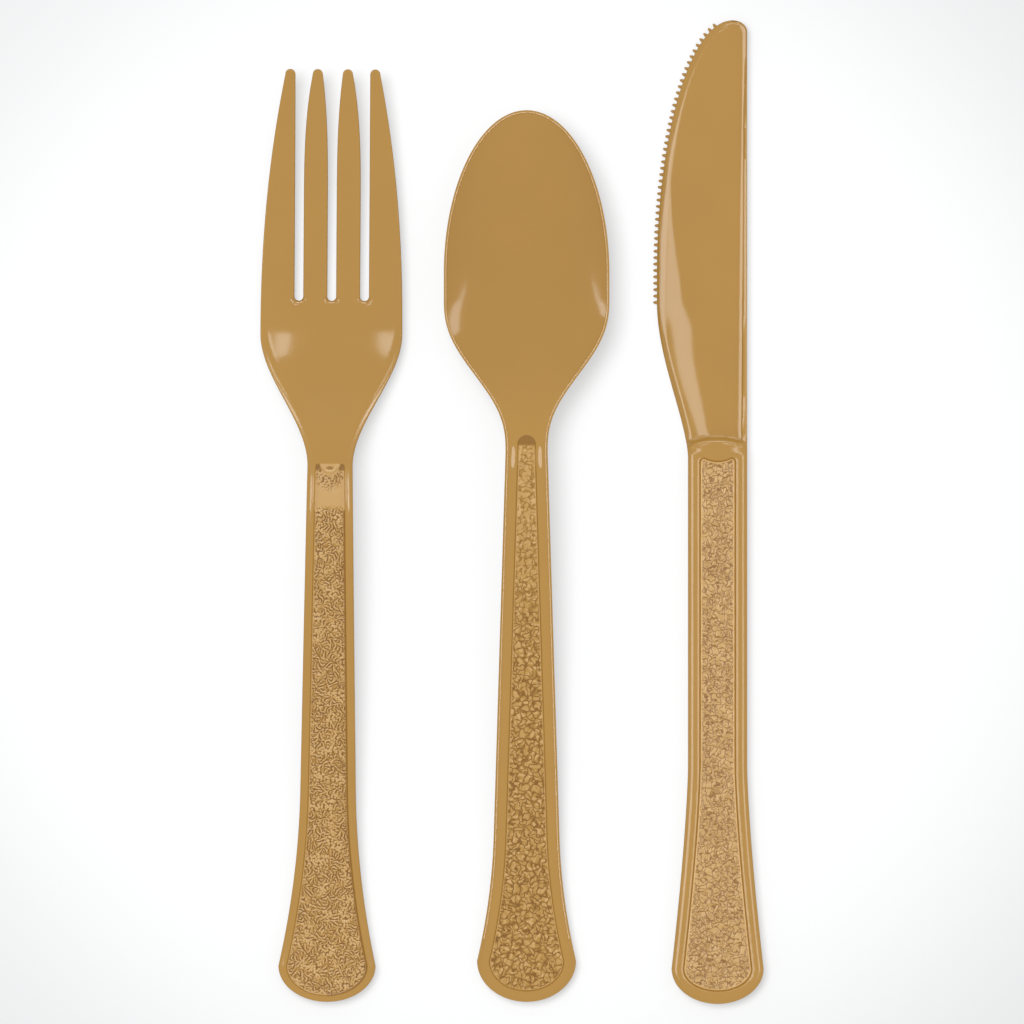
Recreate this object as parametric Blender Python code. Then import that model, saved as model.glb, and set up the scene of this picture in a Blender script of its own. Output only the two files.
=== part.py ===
"""Plastic cutlery set: a fork, a spoon and a knife, each moulded in one piece.

Run it with: blender --background --python part.py
Metres, +Z up. The three lie face up on z = 0 with their heads towards +Y.
Each utensil is a plan of rows and columns, raised into a solid whose top and
bottom follow its side profile. The handle's panel and the hollow under it are
then cut out, and the knife's toothed strip is joined to its blade.
"""

import math

import bmesh
import bpy
import numpy as np

# Places of the three in the set
FORK_TO_SPOON = 0.0386
SPOON_TO_KNIFE = 0.0369
FORK_TURN = math.radians(-0.4)
END_STAGGER = 0.0004

# Sizes that all three share
HANDLE_EDGE = 0.0007
HANDLE_EDGE_DROP = 0.00045
HEAD_EDGE = 0.00028
EDGE_FADE_LENGTH = 0.010
EDGE_SHARE = 0.22
END_LIFT = 0.0003
PANEL_STEP_SHARE = 0.3
CORE_DEPTH = 0.0010
CORE_RIM = 0.0016
CUT_OVERSHOOT = 0.0012
FLARE_LIMIT = 0.6

# Fork
FORK_HANDLE_LENGTH = 0.1035
FORK_SHOULDER_LENGTH = 0.0255
FORK_PALM_LENGTH = 0.0064
FORK_TINE_LENGTH = 0.0446
FORK_END_WIDTH = 0.01874
FORK_END_DEPTH = 0.00695
FORK_FLARE_LENGTH = 0.034
FORK_FLARE_POWER = 2.0
FORK_WAIST_WIDTH = 0.0118
FORK_NECK_WIDTH = 0.0087
FORK_HEAD_WIDTH = 0.0274
FORK_SLOT_WIDTH = 0.00172
FORK_SLOT_SPACING = 0.00634
FORK_TIP_WIDTH = 0.00196
FORK_INNER_TIP_SPACING = 0.0058
FORK_TAPER_LENGTH = 0.0250
FORK_TAPER_POWER = 3.0
FORK_SIDE_POWER = 2.2
FORK_HANDLE_THICKNESS = 0.0030
FORK_HEAD_THICKNESS = 0.0020
FORK_TIP_THICKNESS = 0.0014
FORK_CREST_PLACE = 0.0946
FORK_CREST_HEIGHT = 0.0060
FORK_TIP_HEIGHT = 0.0048
FORK_DISH = 0.0014
FORK_RIM = 0.0015
FORK_END_RIM = 0.0011
FORK_PANEL_CORNER = 0.0005
FORK_PANEL_RECESS = 0.00045
FORK_PANEL_RAMP = 0.0016
FORK_PANEL_MARGIN = 0.0005
FORK_HEEL_OFFSET = 0.0015
FORK_TIP_CURL = 1.8
FORK_ROOT_LIP = 0.0009
FORK_BOSS_RADIUS = 0.00185
FORK_BOSS_DROP = 0.0001
FORK_BOSS_ROOT = 0.0003

# Spoon
SPOON_HANDLE_LENGTH = 0.1060
SPOON_SHOULDER_LENGTH = 0.0300
SPOON_BOWL_LENGTH = 0.0360
SPOON_END_WIDTH = 0.01912
SPOON_END_DEPTH = 0.0079
SPOON_FLARE_LENGTH = 0.024
SPOON_FLARE_POWER = 2.0
SPOON_WAIST_WIDTH = 0.0142
SPOON_NECK_WIDTH = 0.00812
SPOON_BOWL_WIDTH = 0.0319
SPOON_TIP_DEPTH = 0.0314
SPOON_BOWL_DEPTH = 0.0070
SPOON_BOWL_WALL = 0.0013
SPOON_HANDLE_THICKNESS = 0.0030
SPOON_CREST_PLACE = 0.1010
SPOON_CREST_HEIGHT = 0.0072
SPOON_RIM = 0.0023
SPOON_END_RIM = 0.0020
SPOON_PANEL_REACH = 0.0033
SPOON_PANEL_RECESS = 0.0003
SPOON_PANEL_RAMP = 0.0024
SPOON_DEEPEST_OFFSET = 0.006
SPOON_BOWL_START = 0.001
SPOON_BOWL_FULLNESS = 2.2

# Knife
KNIFE_HANDLE_LENGTH = 0.1055
KNIFE_HEEL_LENGTH = 0.0300
KNIFE_BLADE_LENGTH = 0.0545
KNIFE_END_WIDTH = 0.01776
KNIFE_END_DEPTH = 0.0068
KNIFE_FLARE_LENGTH = 0.039
KNIFE_FLARE_POWER = 1.4
KNIFE_NECK_WIDTH = 0.0114
KNIFE_BLADE_REACH = 0.0117
KNIFE_HEEL_LEAD = 0.8
KNIFE_TIP_PLACE = 0.0028
KNIFE_TIP_SWEEP = 0.0490
KNIFE_SPINE_CORNER = 0.0022
KNIFE_HANDLE_THICKNESS = 0.0032
KNIFE_BLADE_THICKNESS = 0.0016
KNIFE_SPINE_THICKNESS = 0.0023
KNIFE_TIP_RIB = 0.0007
KNIFE_NECK_RIB = 0.0015
KNIFE_RIB_FILLET = 0.0004
KNIFE_RIB_SHARE = 0.8
KNIFE_EDGE_THICKNESS = 0.0010
KNIFE_BEVEL = 0.0012
KNIFE_COLLAR_LENGTH = 0.0020
KNIFE_COLLAR_BOW = 0.0012
KNIFE_COLLAR_ROLL = 0.0003
KNIFE_STEP_LENGTH = 0.0012
KNIFE_RIM = 0.0022
KNIFE_END_RIM = 0.0025
KNIFE_PANEL_CORNER = 0.0010
KNIFE_PANEL_RECESS = 0.0002
KNIFE_PANEL_RAMP = 0.0003
KNIFE_PANEL_DIP = 0.0006
KNIFE_CORE_MARGIN = 0.012
KNIFE_STEP_FADE_LENGTH = 0.010
PANEL_DIP_LENGTH = 0.010
KNIFE_COLLAR_ROW = 0.001
TOOTH_PITCH = 0.00121
TOOTH_HEIGHT = 0.0007
TOOTH_ROOT = 0.0009
TOOTH_THICKNESS = 0.0006
TOOTH_FLOOR = 0.0002
TOOTH_TIP_MARGIN = 0.0009
TOOTH_GAP_DEPTH = 0.0003
TOOTH_TAPER = 0.12
PATH_SAMPLES = 2000

# Fineness of the rows and columns
END_STEPS = 7
SHAFT_STEPS = 15
SHOULDER_STEPS = 12
TINE_STEPS = 8
TIP_STEPS = 3
SLOT_STEPS = 4
RAMP_STEPS = 3
PANEL_COLUMNS = 4
BOWL_STEPS = 15
BOWL_COLUMNS = 9
BLADE_STEPS = 16
BLADE_COLUMNS = 3
MERGE = 1e-7

PLASTIC_COLOUR = (0.468, 0.266, 0.078, 1.0)
PLASTIC_ROUGHNESS = 0.28
SHARP_ANGLE = math.radians(35.0)


def smooth(t):
    """An S-curve from 0 to 1, level at both ends."""
    t = min(max(t, 0.0), 1.0)
    return t * t * (3.0 - 2.0 * t)


def smoother(t):
    """A steeper S-curve from 0 to 1."""
    t = min(max(t, 0.0), 1.0)
    return t ** 3 * (10.0 + t * (6.0 * t - 15.0))


def blend(a, b, t):
    """The value that lies t of the way from a to b."""
    return a + (b - a) * t


def quarter_round(y, half, depth):
    """Half width at y of an end that is half an ellipse, with y counted from the end."""
    t = min(max(1.0 - y / depth, 0.0), 1.0)
    return half * math.sqrt(1.0 - t * t)


def round_rows(depth, steps):
    """Places along a round end, close together where it turns."""
    angles = np.linspace(0.0, math.pi / 2.0, steps + 1)
    return [float(depth * (1.0 - math.cos(a))) for a in angles]


def even_rows(start, end, steps):
    """Even places from start to end, without the start itself."""
    return [float(y) for y in np.linspace(start, end, steps + 1)[1:]]


class Handle:
    """Outline of a handle: a round end, a flare and a slim taper up to the neck."""

    def __init__(self, length, neck_width, waist_width, end_width, end_depth, flare, power):
        self.length = length
        self.neck = neck_width / 2.0
        self.waist = waist_width / 2.0
        self.end = end_width / 2.0
        self.end_depth = end_depth
        self.flare = flare
        self.power = power

    def half(self, y):
        """Half width at y, with y counted from the handle's end."""
        if y < self.end_depth:
            return quarter_round(y, self.end, self.end_depth)
        along = (y - self.end_depth) / (self.length - self.end_depth)
        slim = blend(self.waist, self.neck, min(along, 1.0))
        out = max(1.0 - (y - self.end_depth) / self.flare, 0.0)
        return slim + (self.end - self.waist) * out ** self.power

    def rows(self):
        """Rows from the end up to the neck."""
        flare_end = min(self.end_depth + self.flare, FLARE_LIMIT * self.length)
        rows = round_rows(self.end_depth, END_STEPS)
        rows += even_rows(self.end_depth, flare_end, SHAFT_STEPS // 2)
        rows += even_rows(flare_end, self.length, SHAFT_STEPS - SHAFT_STEPS // 2)
        return rows


def rising_line(y, rest, crest, crest_height):
    """Underside of a handle that rests near its end and rises to its crest."""
    if y < rest:
        return END_LIFT * (1.0 - y / rest) ** 2
    return crest_height * smooth((y - rest) / (crest - rest))


def across(left, right, left_edge, right_edge, columns):
    """Places from left to right, with one close to each side for its rounded edge."""
    width = right - left
    a = left + min(left_edge, EDGE_SHARE * width)
    b = right - min(right_edge, EDGE_SHARE * width)
    inner = [float(x) for x in np.linspace(a, b, columns + 1)]
    return [left] + inner + [right]


def raise_plan(name, grids, top, bottom, edge_drop):
    """Make a solid from a flat plan.

    grids are lists of rows of (x, y) points, and rows that meet share their points.
    top and bottom give the heights at (x, y), and edge_drop rounds the plan's border.
    """
    bm = bmesh.new()
    border = bm.verts.layers.int.new("border")
    found = {}

    def vertex(point):
        key = (round(point[0] / MERGE), round(point[1] / MERGE))
        if key not in found:
            found[key] = bm.verts.new((point[0], point[1], 0.0))
        return found[key]

    for grid in grids:
        for low, high in zip(grid, grid[1:]):
            for i in range(len(low) - 1):
                corners = [vertex(p) for p in (low[i], low[i + 1], high[i + 1], high[i])]
                ring = list(dict.fromkeys(corners))
                if len(ring) > 2:
                    bm.faces.new(ring)
    for vert in bm.verts:
        vert[border] = 1 if vert.is_boundary else 0
    lower = list(bm.verts)
    raised = bmesh.ops.extrude_face_region(bm, geom=list(bm.faces))
    upper = [item for item in raised["geom"] if isinstance(item, bmesh.types.BMVert)]
    for vert in upper:
        drop = edge_drop(vert.co.y)[0] if vert[border] else 0.0
        vert.co.z = top(vert.co.x, vert.co.y) - drop
    for vert in lower:
        lift = edge_drop(vert.co.y)[1] if vert[border] else 0.0
        vert.co.z = bottom(vert.co.x, vert.co.y) + lift
    bmesh.ops.recalc_face_normals(bm, faces=list(bm.faces))
    mesh = bpy.data.meshes.new(name)
    bm.to_mesh(mesh)
    bm.free()
    return bpy.data.objects.new(name, mesh)


def panel_rows(handle, rim, end_rim, end, corner, ramp=0.0):
    """Outline rows of a panel that keeps its rim inside a handle's outline."""
    inner_end = handle.end - rim
    inner_depth = handle.end_depth - end_rim
    corner = min(corner, handle.half(end) - rim)
    places = [end_rim + y for y in round_rows(inner_depth, END_STEPS)]
    ramp_start = min(end - ramp, end - corner)
    places += [y for y in handle.rows() if handle.end_depth < y < ramp_start]
    if ramp_start < end - corner:
        places += even_rows(ramp_start, end - corner, RAMP_STEPS)[:-1]
    places += [end - y for y in reversed(round_rows(corner, SLOT_STEPS))]
    rows = []
    for y in places:
        half = handle.half(y) - rim
        if y < handle.end_depth:
            half = quarter_round(y - end_rim, inner_end, inner_depth)
        if y > end - corner:
            half = half - corner + quarter_round(end - y, corner, corner)
        rows.append((half, y))
    return rows


def pocket_cutter(name, rows, floor, roof, dip=0.0):
    """Cutter for a panel: its outline between the heights floor and roof.

    dip is how far the middle of its upper end lies below the corners.
    """
    end = rows[-1][1]
    shares = [float(s) for s in np.linspace(-1.0, 1.0, PANEL_COLUMNS + 1)]
    grid = []
    for half, y in rows:
        near = max(1.0 - (end - y) / PANEL_DIP_LENGTH, 0.0)
        grid.append([(s * half, y - near * dip * (1.0 - s * s)) for s in shares])
    return raise_plan(name, [grid], roof, floor, lambda y: (0.0, 0.0))


def cut_handle(body, top, bottom, panel, core, recess, ramp, dip=0.0):
    """Cut the panel out of a handle's top and the hollow out of its underside.

    The panel is recess deep and its floor rises over the length ramp at its upper end.
    """
    end = panel[-1][1]

    def floor(x, y):
        share = blend(PANEL_STEP_SHARE, 1.0, smooth((end - y) / ramp))
        return top(0.0, y) - recess * share

    face = pocket_cutter(
        body.name + "_panel_cutter", panel, floor,
        lambda x, y: top(0.0, y) + CUT_OVERSHOOT, dip)
    hollow = pocket_cutter(
        body.name + "_core_cutter", core,
        lambda x, y: bottom(0.0, y) - CUT_OVERSHOOT,
        lambda x, y: bottom(0.0, y) + CORE_DEPTH)
    for cutter in (face, hollow):
        combine(body, cutter, "DIFFERENCE")


def combine(body, tool, operation):
    """Add a Boolean to the body that uses another object, kept among the cutters."""
    link(tool, "cutters")
    tool.hide_render = True
    tool.display_type = "WIRE"
    modifier = body.modifiers.new(tool.name, "BOOLEAN")
    modifier.operation = operation
    modifier.solver = "EXACT"
    modifier.object = tool


def link(obj, collection_name):
    """Put an object in a named collection."""
    collection = bpy.data.collections.get(collection_name)
    if collection is None:
        collection = bpy.data.collections.new(collection_name)
        bpy.context.scene.collection.children.link(collection)
    collection.objects.link(obj)


def plastic(name):
    """Glossy moulded plastic, dyed gold-brown all through."""
    material = bpy.data.materials.new(name)
    material.use_nodes = True
    shader = material.node_tree.nodes["Principled BSDF"]
    shader.inputs["Base Color"].default_value = PLASTIC_COLOUR
    shader.inputs["Roughness"].default_value = PLASTIC_ROUGHNESS
    shader.inputs["Metallic"].default_value = 0.0
    return material


def finish(body):
    """Give a utensil its material and smooth shading, and put it with the set."""
    body.data.materials.append(plastic(body.name + "_plastic"))
    body.data.shade_smooth()
    body.data.set_sharp_from_angle(angle=SHARP_ANGLE)
    link(body, "plastic_cutlery_set")
    return body


def edge_sizes(neck, head_edge):
    """Edge rounding along a utensil: wide on the handle, fine on the head."""
    def width(y):
        return blend(HANDLE_EDGE, head_edge, smooth((y - neck) / EDGE_FADE_LENGTH))

    def drops(y):
        t = smooth((y - neck) / EDGE_FADE_LENGTH)
        return blend(HANDLE_EDGE_DROP, head_edge, t), head_edge
    return width, drops


def make_fork():
    """Fork: dished head with four tines that taper to round tips."""
    handle = Handle(FORK_HANDLE_LENGTH, FORK_NECK_WIDTH, FORK_WAIST_WIDTH, FORK_END_WIDTH,
                    FORK_END_DEPTH, FORK_FLARE_LENGTH, FORK_FLARE_POWER)
    widest = FORK_HANDLE_LENGTH + FORK_SHOULDER_LENGTH
    root = widest + FORK_PALM_LENGTH
    length = root + FORK_TINE_LENGTH
    slot_half = FORK_SLOT_WIDTH / 2.0
    slot_centre = root + slot_half
    tip_half = FORK_TIP_WIDTH / 2.0
    tip_start = length - tip_half
    heel = widest + FORK_HEEL_OFFSET
    edge_width, edge_drop = edge_sizes(FORK_HANDLE_LENGTH, HEAD_EDGE)
    outer_tip = FORK_SLOT_SPACING + slot_half + FORK_TIP_WIDTH

    def half(y):
        if y <= widest:
            grown = smooth((y - FORK_HANDLE_LENGTH) / FORK_SHOULDER_LENGTH)
            return blend(handle.half(y), FORK_HEAD_WIDTH / 2.0, grown)
        t = min((y - widest) / (tip_start - widest), 1.0)
        return blend(FORK_HEAD_WIDTH / 2.0, outer_tip, t ** FORK_SIDE_POWER)

    def taper(y):
        t = (y - (tip_start - FORK_TAPER_LENGTH)) / FORK_TAPER_LENGTH
        return min(max(t, 0.0), 1.0) ** FORK_TAPER_POWER

    def tine_sides(tine, y):
        if tine == "outer":
            return FORK_SLOT_SPACING + slot_half, half(y)
        inner_tip = (FORK_INNER_TIP_SPACING - FORK_TIP_WIDTH) / 2.0
        inner = blend(slot_half, inner_tip, taper(y))
        outer = blend(FORK_SLOT_SPACING - slot_half, inner_tip + FORK_TIP_WIDTH, taper(y))
        return inner, outer

    def under(y):
        if y <= FORK_CREST_PLACE:
            return rising_line(y, FORK_END_DEPTH, FORK_CREST_PLACE, FORK_CREST_HEIGHT)
        if y <= heel:
            t = (y - FORK_CREST_PLACE) / (heel - FORK_CREST_PLACE)
            return FORK_CREST_HEIGHT * (1.0 - smooth(t))
        return FORK_TIP_HEIGHT * ((y - heel) / (length - heel)) ** FORK_TIP_CURL

    def thickness(y):
        head = smooth((y - FORK_HANDLE_LENGTH) / FORK_SHOULDER_LENGTH)
        body = blend(FORK_HANDLE_THICKNESS, FORK_HEAD_THICKNESS, head)
        return blend(body, FORK_TIP_THICKNESS, smooth((y - root) / FORK_TINE_LENGTH))

    def bottom(x, y):
        rise = smooth((y - FORK_HANDLE_LENGTH) / FORK_SHOULDER_LENGTH)
        fade = 1.0 - smooth((y - root) / FORK_TINE_LENGTH)
        return under(y) + FORK_DISH * rise * fade * (x / (FORK_HEAD_WIDTH / 2.0)) ** 2

    def top(x, y):
        return bottom(x, y) + thickness(y)

    def tine_row(tine, side, y):
        inner, outer = tine_sides(tine, y)
        if y > tip_start:
            centre = (inner + outer) / 2.0
            reach = tip_half * math.sqrt(max(1.0 - ((y - tip_start) / tip_half) ** 2, 0.0))
            inner, outer = centre - reach, centre + reach
        left, right = (inner, outer) if side > 0 else (-outer, -inner)
        return [(x, y) for x in across(left, right, HEAD_EDGE, HEAD_EDGE, 2)]

    def slot_arc(centre):
        angles = np.linspace(math.pi, 2.0 * math.pi, SLOT_STEPS + 1)[1:-1]
        return [(centre + slot_half * math.cos(a), slot_centre + slot_half * math.sin(a))
                for a in angles]

    tines = (("outer", -1), ("inner", -1), ("inner", 1), ("outer", 1))
    slots = (-FORK_SLOT_SPACING, 0.0, FORK_SLOT_SPACING)
    root_row = []
    starts = []
    for number, (tine, side) in enumerate(tines):
        starts.append(tine_row(tine, side, slot_centre))
        root_row += starts[-1]
        if number < len(slots):
            root_row += slot_arc(slots[number])

    below = root - FORK_ROOT_LIP
    body_rows = handle.rows() + even_rows(FORK_HANDLE_LENGTH, widest, SHOULDER_STEPS)
    body_rows.append(below)
    shares = [point[0] / half(slot_centre) for point in root_row]
    body = []
    for y in body_rows:
        row = [share * half(y) for share in shares]
        inset = min(edge_width(y), EDGE_SHARE * 2.0 * half(y))
        row[1] = -half(y) + inset
        row[-2] = half(y) - inset
        body.append([(x, y) for x in row])
    body.append(root_row)

    grids = [body]
    tip_rows = [length - y for y in reversed(round_rows(tip_half, TIP_STEPS))]
    rows = even_rows(slot_centre, tip_start, TINE_STEPS) + tip_rows[1:]
    for (tine, side), start in zip(tines, starts):
        grids.append([start] + [tine_row(tine, side, y) for y in rows])
    fork = raise_plan("fork", grids, top, bottom, edge_drop)
    panel_end = FORK_HANDLE_LENGTH - FORK_PANEL_MARGIN
    panel = panel_rows(handle, FORK_RIM, FORK_END_RIM, panel_end, FORK_PANEL_CORNER,
                       FORK_PANEL_RAMP)
    core = panel_rows(handle, CORE_RIM, CORE_RIM, panel_end, CORE_RIM)
    cut_handle(fork, top, bottom, panel, core, FORK_PANEL_RECESS, FORK_PANEL_RAMP)
    radius = FORK_BOSS_RADIUS
    rows = [(quarter_round(y, radius, radius), panel_end - radius + y)
            for y in round_rows(radius, SLOT_STEPS)]
    rows.append((radius, panel_end + FORK_BOSS_ROOT))
    boss = pocket_cutter(
        "fork_boss", rows,
        lambda x, y: top(0.0, y) - FORK_HANDLE_THICKNESS / 2.0,
        lambda x, y: top(0.0, y) - FORK_BOSS_DROP)
    combine(fork, boss, "UNION")
    return finish(fork)


def make_spoon():
    """Spoon: deep oval bowl on a handle with a round-topped panel."""
    handle = Handle(SPOON_HANDLE_LENGTH, SPOON_NECK_WIDTH, SPOON_WAIST_WIDTH, SPOON_END_WIDTH,
                    SPOON_END_DEPTH, SPOON_FLARE_LENGTH, SPOON_FLARE_POWER)
    length = SPOON_HANDLE_LENGTH + SPOON_SHOULDER_LENGTH + SPOON_BOWL_LENGTH
    widest = SPOON_HANDLE_LENGTH + SPOON_SHOULDER_LENGTH
    oval = length - SPOON_TIP_DEPTH
    deepest = widest + SPOON_DEEPEST_OFFSET
    rim_height = SPOON_BOWL_DEPTH + SPOON_BOWL_WALL
    edge_width, edge_drop = edge_sizes(SPOON_HANDLE_LENGTH, HEAD_EDGE)

    def half(y):
        if y > oval:
            return quarter_round(length - y, SPOON_BOWL_WIDTH / 2.0, SPOON_TIP_DEPTH)
        grown = smoother((y - SPOON_HANDLE_LENGTH) / SPOON_SHOULDER_LENGTH)
        return blend(handle.half(y), SPOON_BOWL_WIDTH / 2.0, grown)

    def thickness(y):
        t = smooth((y - SPOON_CREST_PLACE) / (widest - SPOON_CREST_PLACE))
        return blend(SPOON_HANDLE_THICKNESS, SPOON_BOWL_WALL, t)

    def rim(y):
        crest_top = SPOON_CREST_HEIGHT + SPOON_HANDLE_THICKNESS
        if y <= SPOON_CREST_PLACE:
            under = rising_line(y, SPOON_END_DEPTH, SPOON_CREST_PLACE, SPOON_CREST_HEIGHT)
            return under + SPOON_HANDLE_THICKNESS
        t = (y - SPOON_CREST_PLACE) / (widest - SPOON_CREST_PLACE)
        return blend(crest_top, rim_height, smooth(t))

    def depth(y):
        if y < deepest:
            start = SPOON_HANDLE_LENGTH + SPOON_BOWL_START
            return SPOON_BOWL_DEPTH * smooth((y - start) / (deepest - start))
        t = (y - deepest) / (length - deepest)
        return SPOON_BOWL_DEPTH * (1.0 - min(t, 1.0) ** SPOON_BOWL_FULLNESS)

    def top(x, y):
        u = min(abs(x) / max(half(y), MERGE), 1.0)
        return rim(y) - depth(y) * (1.0 - u ** SPOON_BOWL_FULLNESS)

    def bottom(x, y):
        return top(x, y) - thickness(y)

    places = handle.rows() + even_rows(SPOON_HANDLE_LENGTH, oval, SHOULDER_STEPS + 2)
    places += [length - y for y in reversed(round_rows(SPOON_TIP_DEPTH, BOWL_STEPS)[:-1])]
    grid = []
    for y in places:
        edge = edge_width(y)
        grid.append([(x, y) for x in across(-half(y), half(y), edge, edge, BOWL_COLUMNS)])
    spoon = raise_plan("spoon", [grid], top, bottom, edge_drop)
    panel_end = SPOON_HANDLE_LENGTH + SPOON_PANEL_REACH
    panel = panel_rows(handle, SPOON_RIM, SPOON_END_RIM, panel_end, SPOON_NECK_WIDTH,
                       SPOON_PANEL_RAMP)
    core = panel_rows(handle, CORE_RIM, CORE_RIM, SPOON_HANDLE_LENGTH, CORE_RIM)
    cut_handle(spoon, top, bottom, panel, core, SPOON_PANEL_RECESS, SPOON_PANEL_RAMP)
    return finish(spoon)


def make_knife():
    """Knife: flat blade with a spine rib, a bevel and a strip of fine teeth."""
    handle = Handle(KNIFE_HANDLE_LENGTH, KNIFE_NECK_WIDTH, KNIFE_NECK_WIDTH, KNIFE_END_WIDTH,
                    KNIFE_END_DEPTH, KNIFE_FLARE_LENGTH, KNIFE_FLARE_POWER)
    length = KNIFE_HANDLE_LENGTH + KNIFE_HEEL_LENGTH + KNIFE_BLADE_LENGTH
    sweep_start = length - KNIFE_TIP_SWEEP
    spine = KNIFE_NECK_WIDTH / 2.0
    step = KNIFE_HANDLE_LENGTH + KNIFE_COLLAR_LENGTH
    edge_width, edge_drop = edge_sizes(KNIFE_HANDLE_LENGTH, HEAD_EDGE)

    def left(y):
        if y > sweep_start:
            reach = KNIFE_BLADE_REACH + KNIFE_TIP_PLACE
            return KNIFE_TIP_PLACE - quarter_round(length - y, reach, KNIFE_TIP_SWEEP)
        t = smooth((y - KNIFE_HANDLE_LENGTH) / KNIFE_HEEL_LENGTH) ** KNIFE_HEEL_LEAD
        return -blend(handle.half(y), KNIFE_BLADE_REACH, t)

    def right(y):
        if y > length - KNIFE_SPINE_CORNER:
            corner = spine - KNIFE_TIP_PLACE
            return KNIFE_TIP_PLACE + quarter_round(length - y, corner, KNIFE_SPINE_CORNER)
        return handle.half(y) if y < KNIFE_HANDLE_LENGTH else spine

    def bow(x, y):
        u = (x - left(y)) / max(right(y) - left(y), MERGE)
        return KNIFE_COLLAR_BOW * 4.0 * u * (1.0 - u)

    def rib_width(y):
        return blend(KNIFE_NECK_RIB, KNIFE_TIP_RIB, (y - step) / (length - step))

    def blade_top(x, y):
        rib = smooth(1.0 - (right(y) - x - rib_width(y)) / KNIFE_RIB_FILLET)
        bevel = 1.0 - min((x - left(y)) / KNIFE_BEVEL, 1.0)
        web = blend(KNIFE_BLADE_THICKNESS, KNIFE_SPINE_THICKNESS, rib)
        return blend(web, min(web, KNIFE_EDGE_THICKNESS), bevel)

    def top(x, y):
        past = y - bow(x, y) - step
        down = smooth(past / KNIFE_STEP_LENGTH)
        roll = KNIFE_COLLAR_ROLL * smooth(1.0 + past / KNIFE_COLLAR_LENGTH)
        return blend(KNIFE_HANDLE_THICKNESS - roll, blade_top(x, y), down)

    def bottom(x, y):
        return rising_line(y, KNIFE_END_DEPTH, length, 0.0)

    def knife_row(y):
        a, b = left(y), right(y)
        edge = edge_width(y)
        inner = across(a, b, edge, edge, BLADE_COLUMNS + 3)
        bevel = min(KNIFE_BEVEL, 2.0 * EDGE_SHARE * (b - a))
        rib = min(rib_width(y) + KNIFE_RIB_FILLET, 2.0 * EDGE_SHARE * (b - a))
        inner[2:-3] = [float(x) for x in np.linspace(a + bevel, b - rib, BLADE_COLUMNS + 1)]
        inner[-3] = b - KNIFE_RIB_SHARE * rib
        near = max(1.0 - abs(y - step) / KNIFE_STEP_FADE_LENGTH, 0.0)
        return [(x, y + near * bow(x, y)) for x in inner]

    heel_end = KNIFE_HANDLE_LENGTH + KNIFE_HEEL_LENGTH
    places = handle.rows()[:-1]
    places += [KNIFE_HANDLE_LENGTH - KNIFE_COLLAR_ROW, step, step + KNIFE_STEP_LENGTH / 2.0]
    places += [step + KNIFE_STEP_LENGTH]
    places += even_rows(places[-1], heel_end, SHOULDER_STEPS - 2)
    if sweep_start > heel_end:
        places += even_rows(heel_end, sweep_start, 2)[:-1]
    tip = [length - y for y in reversed(round_rows(KNIFE_TIP_SWEEP, BLADE_STEPS))]
    places += [y for y in tip if y > places[-1]]
    knife = raise_plan("knife", [[knife_row(y) for y in places]], top, bottom, edge_drop)
    add_teeth(knife, left, heel_end, length)
    panel = panel_rows(handle, KNIFE_RIM, KNIFE_END_RIM, KNIFE_HANDLE_LENGTH,
                       KNIFE_PANEL_CORNER)
    core = panel_rows(handle, CORE_RIM, CORE_RIM, KNIFE_HANDLE_LENGTH - KNIFE_CORE_MARGIN, CORE_RIM)
    cut_handle(knife, top, bottom, panel, core, KNIFE_PANEL_RECESS, KNIFE_PANEL_RAMP,
               KNIFE_PANEL_DIP)
    return finish(knife)


def edge_path(left, start, end):
    """Points with their outward normals, one half tooth pitch apart along the blade's edge."""
    fine = np.linspace(start, end, PATH_SAMPLES)
    points = np.array([(left(float(y)), float(y)) for y in fine])
    steps = np.hypot(*np.diff(points, axis=0).T)
    travelled = np.concatenate([[0.0], np.cumsum(steps)])
    count = 2 * int(travelled[-1] / TOOTH_PITCH)
    places = np.arange(count + 1) * TOOTH_PITCH / 2.0
    path = np.column_stack([np.interp(places, travelled, points[:, k]) for k in (0, 1)])
    along = np.gradient(path, axis=0)
    along /= np.linalg.norm(along, axis=1)[:, None]
    normals = np.column_stack([-along[:, 1], along[:, 0]])
    return path, normals


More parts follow.
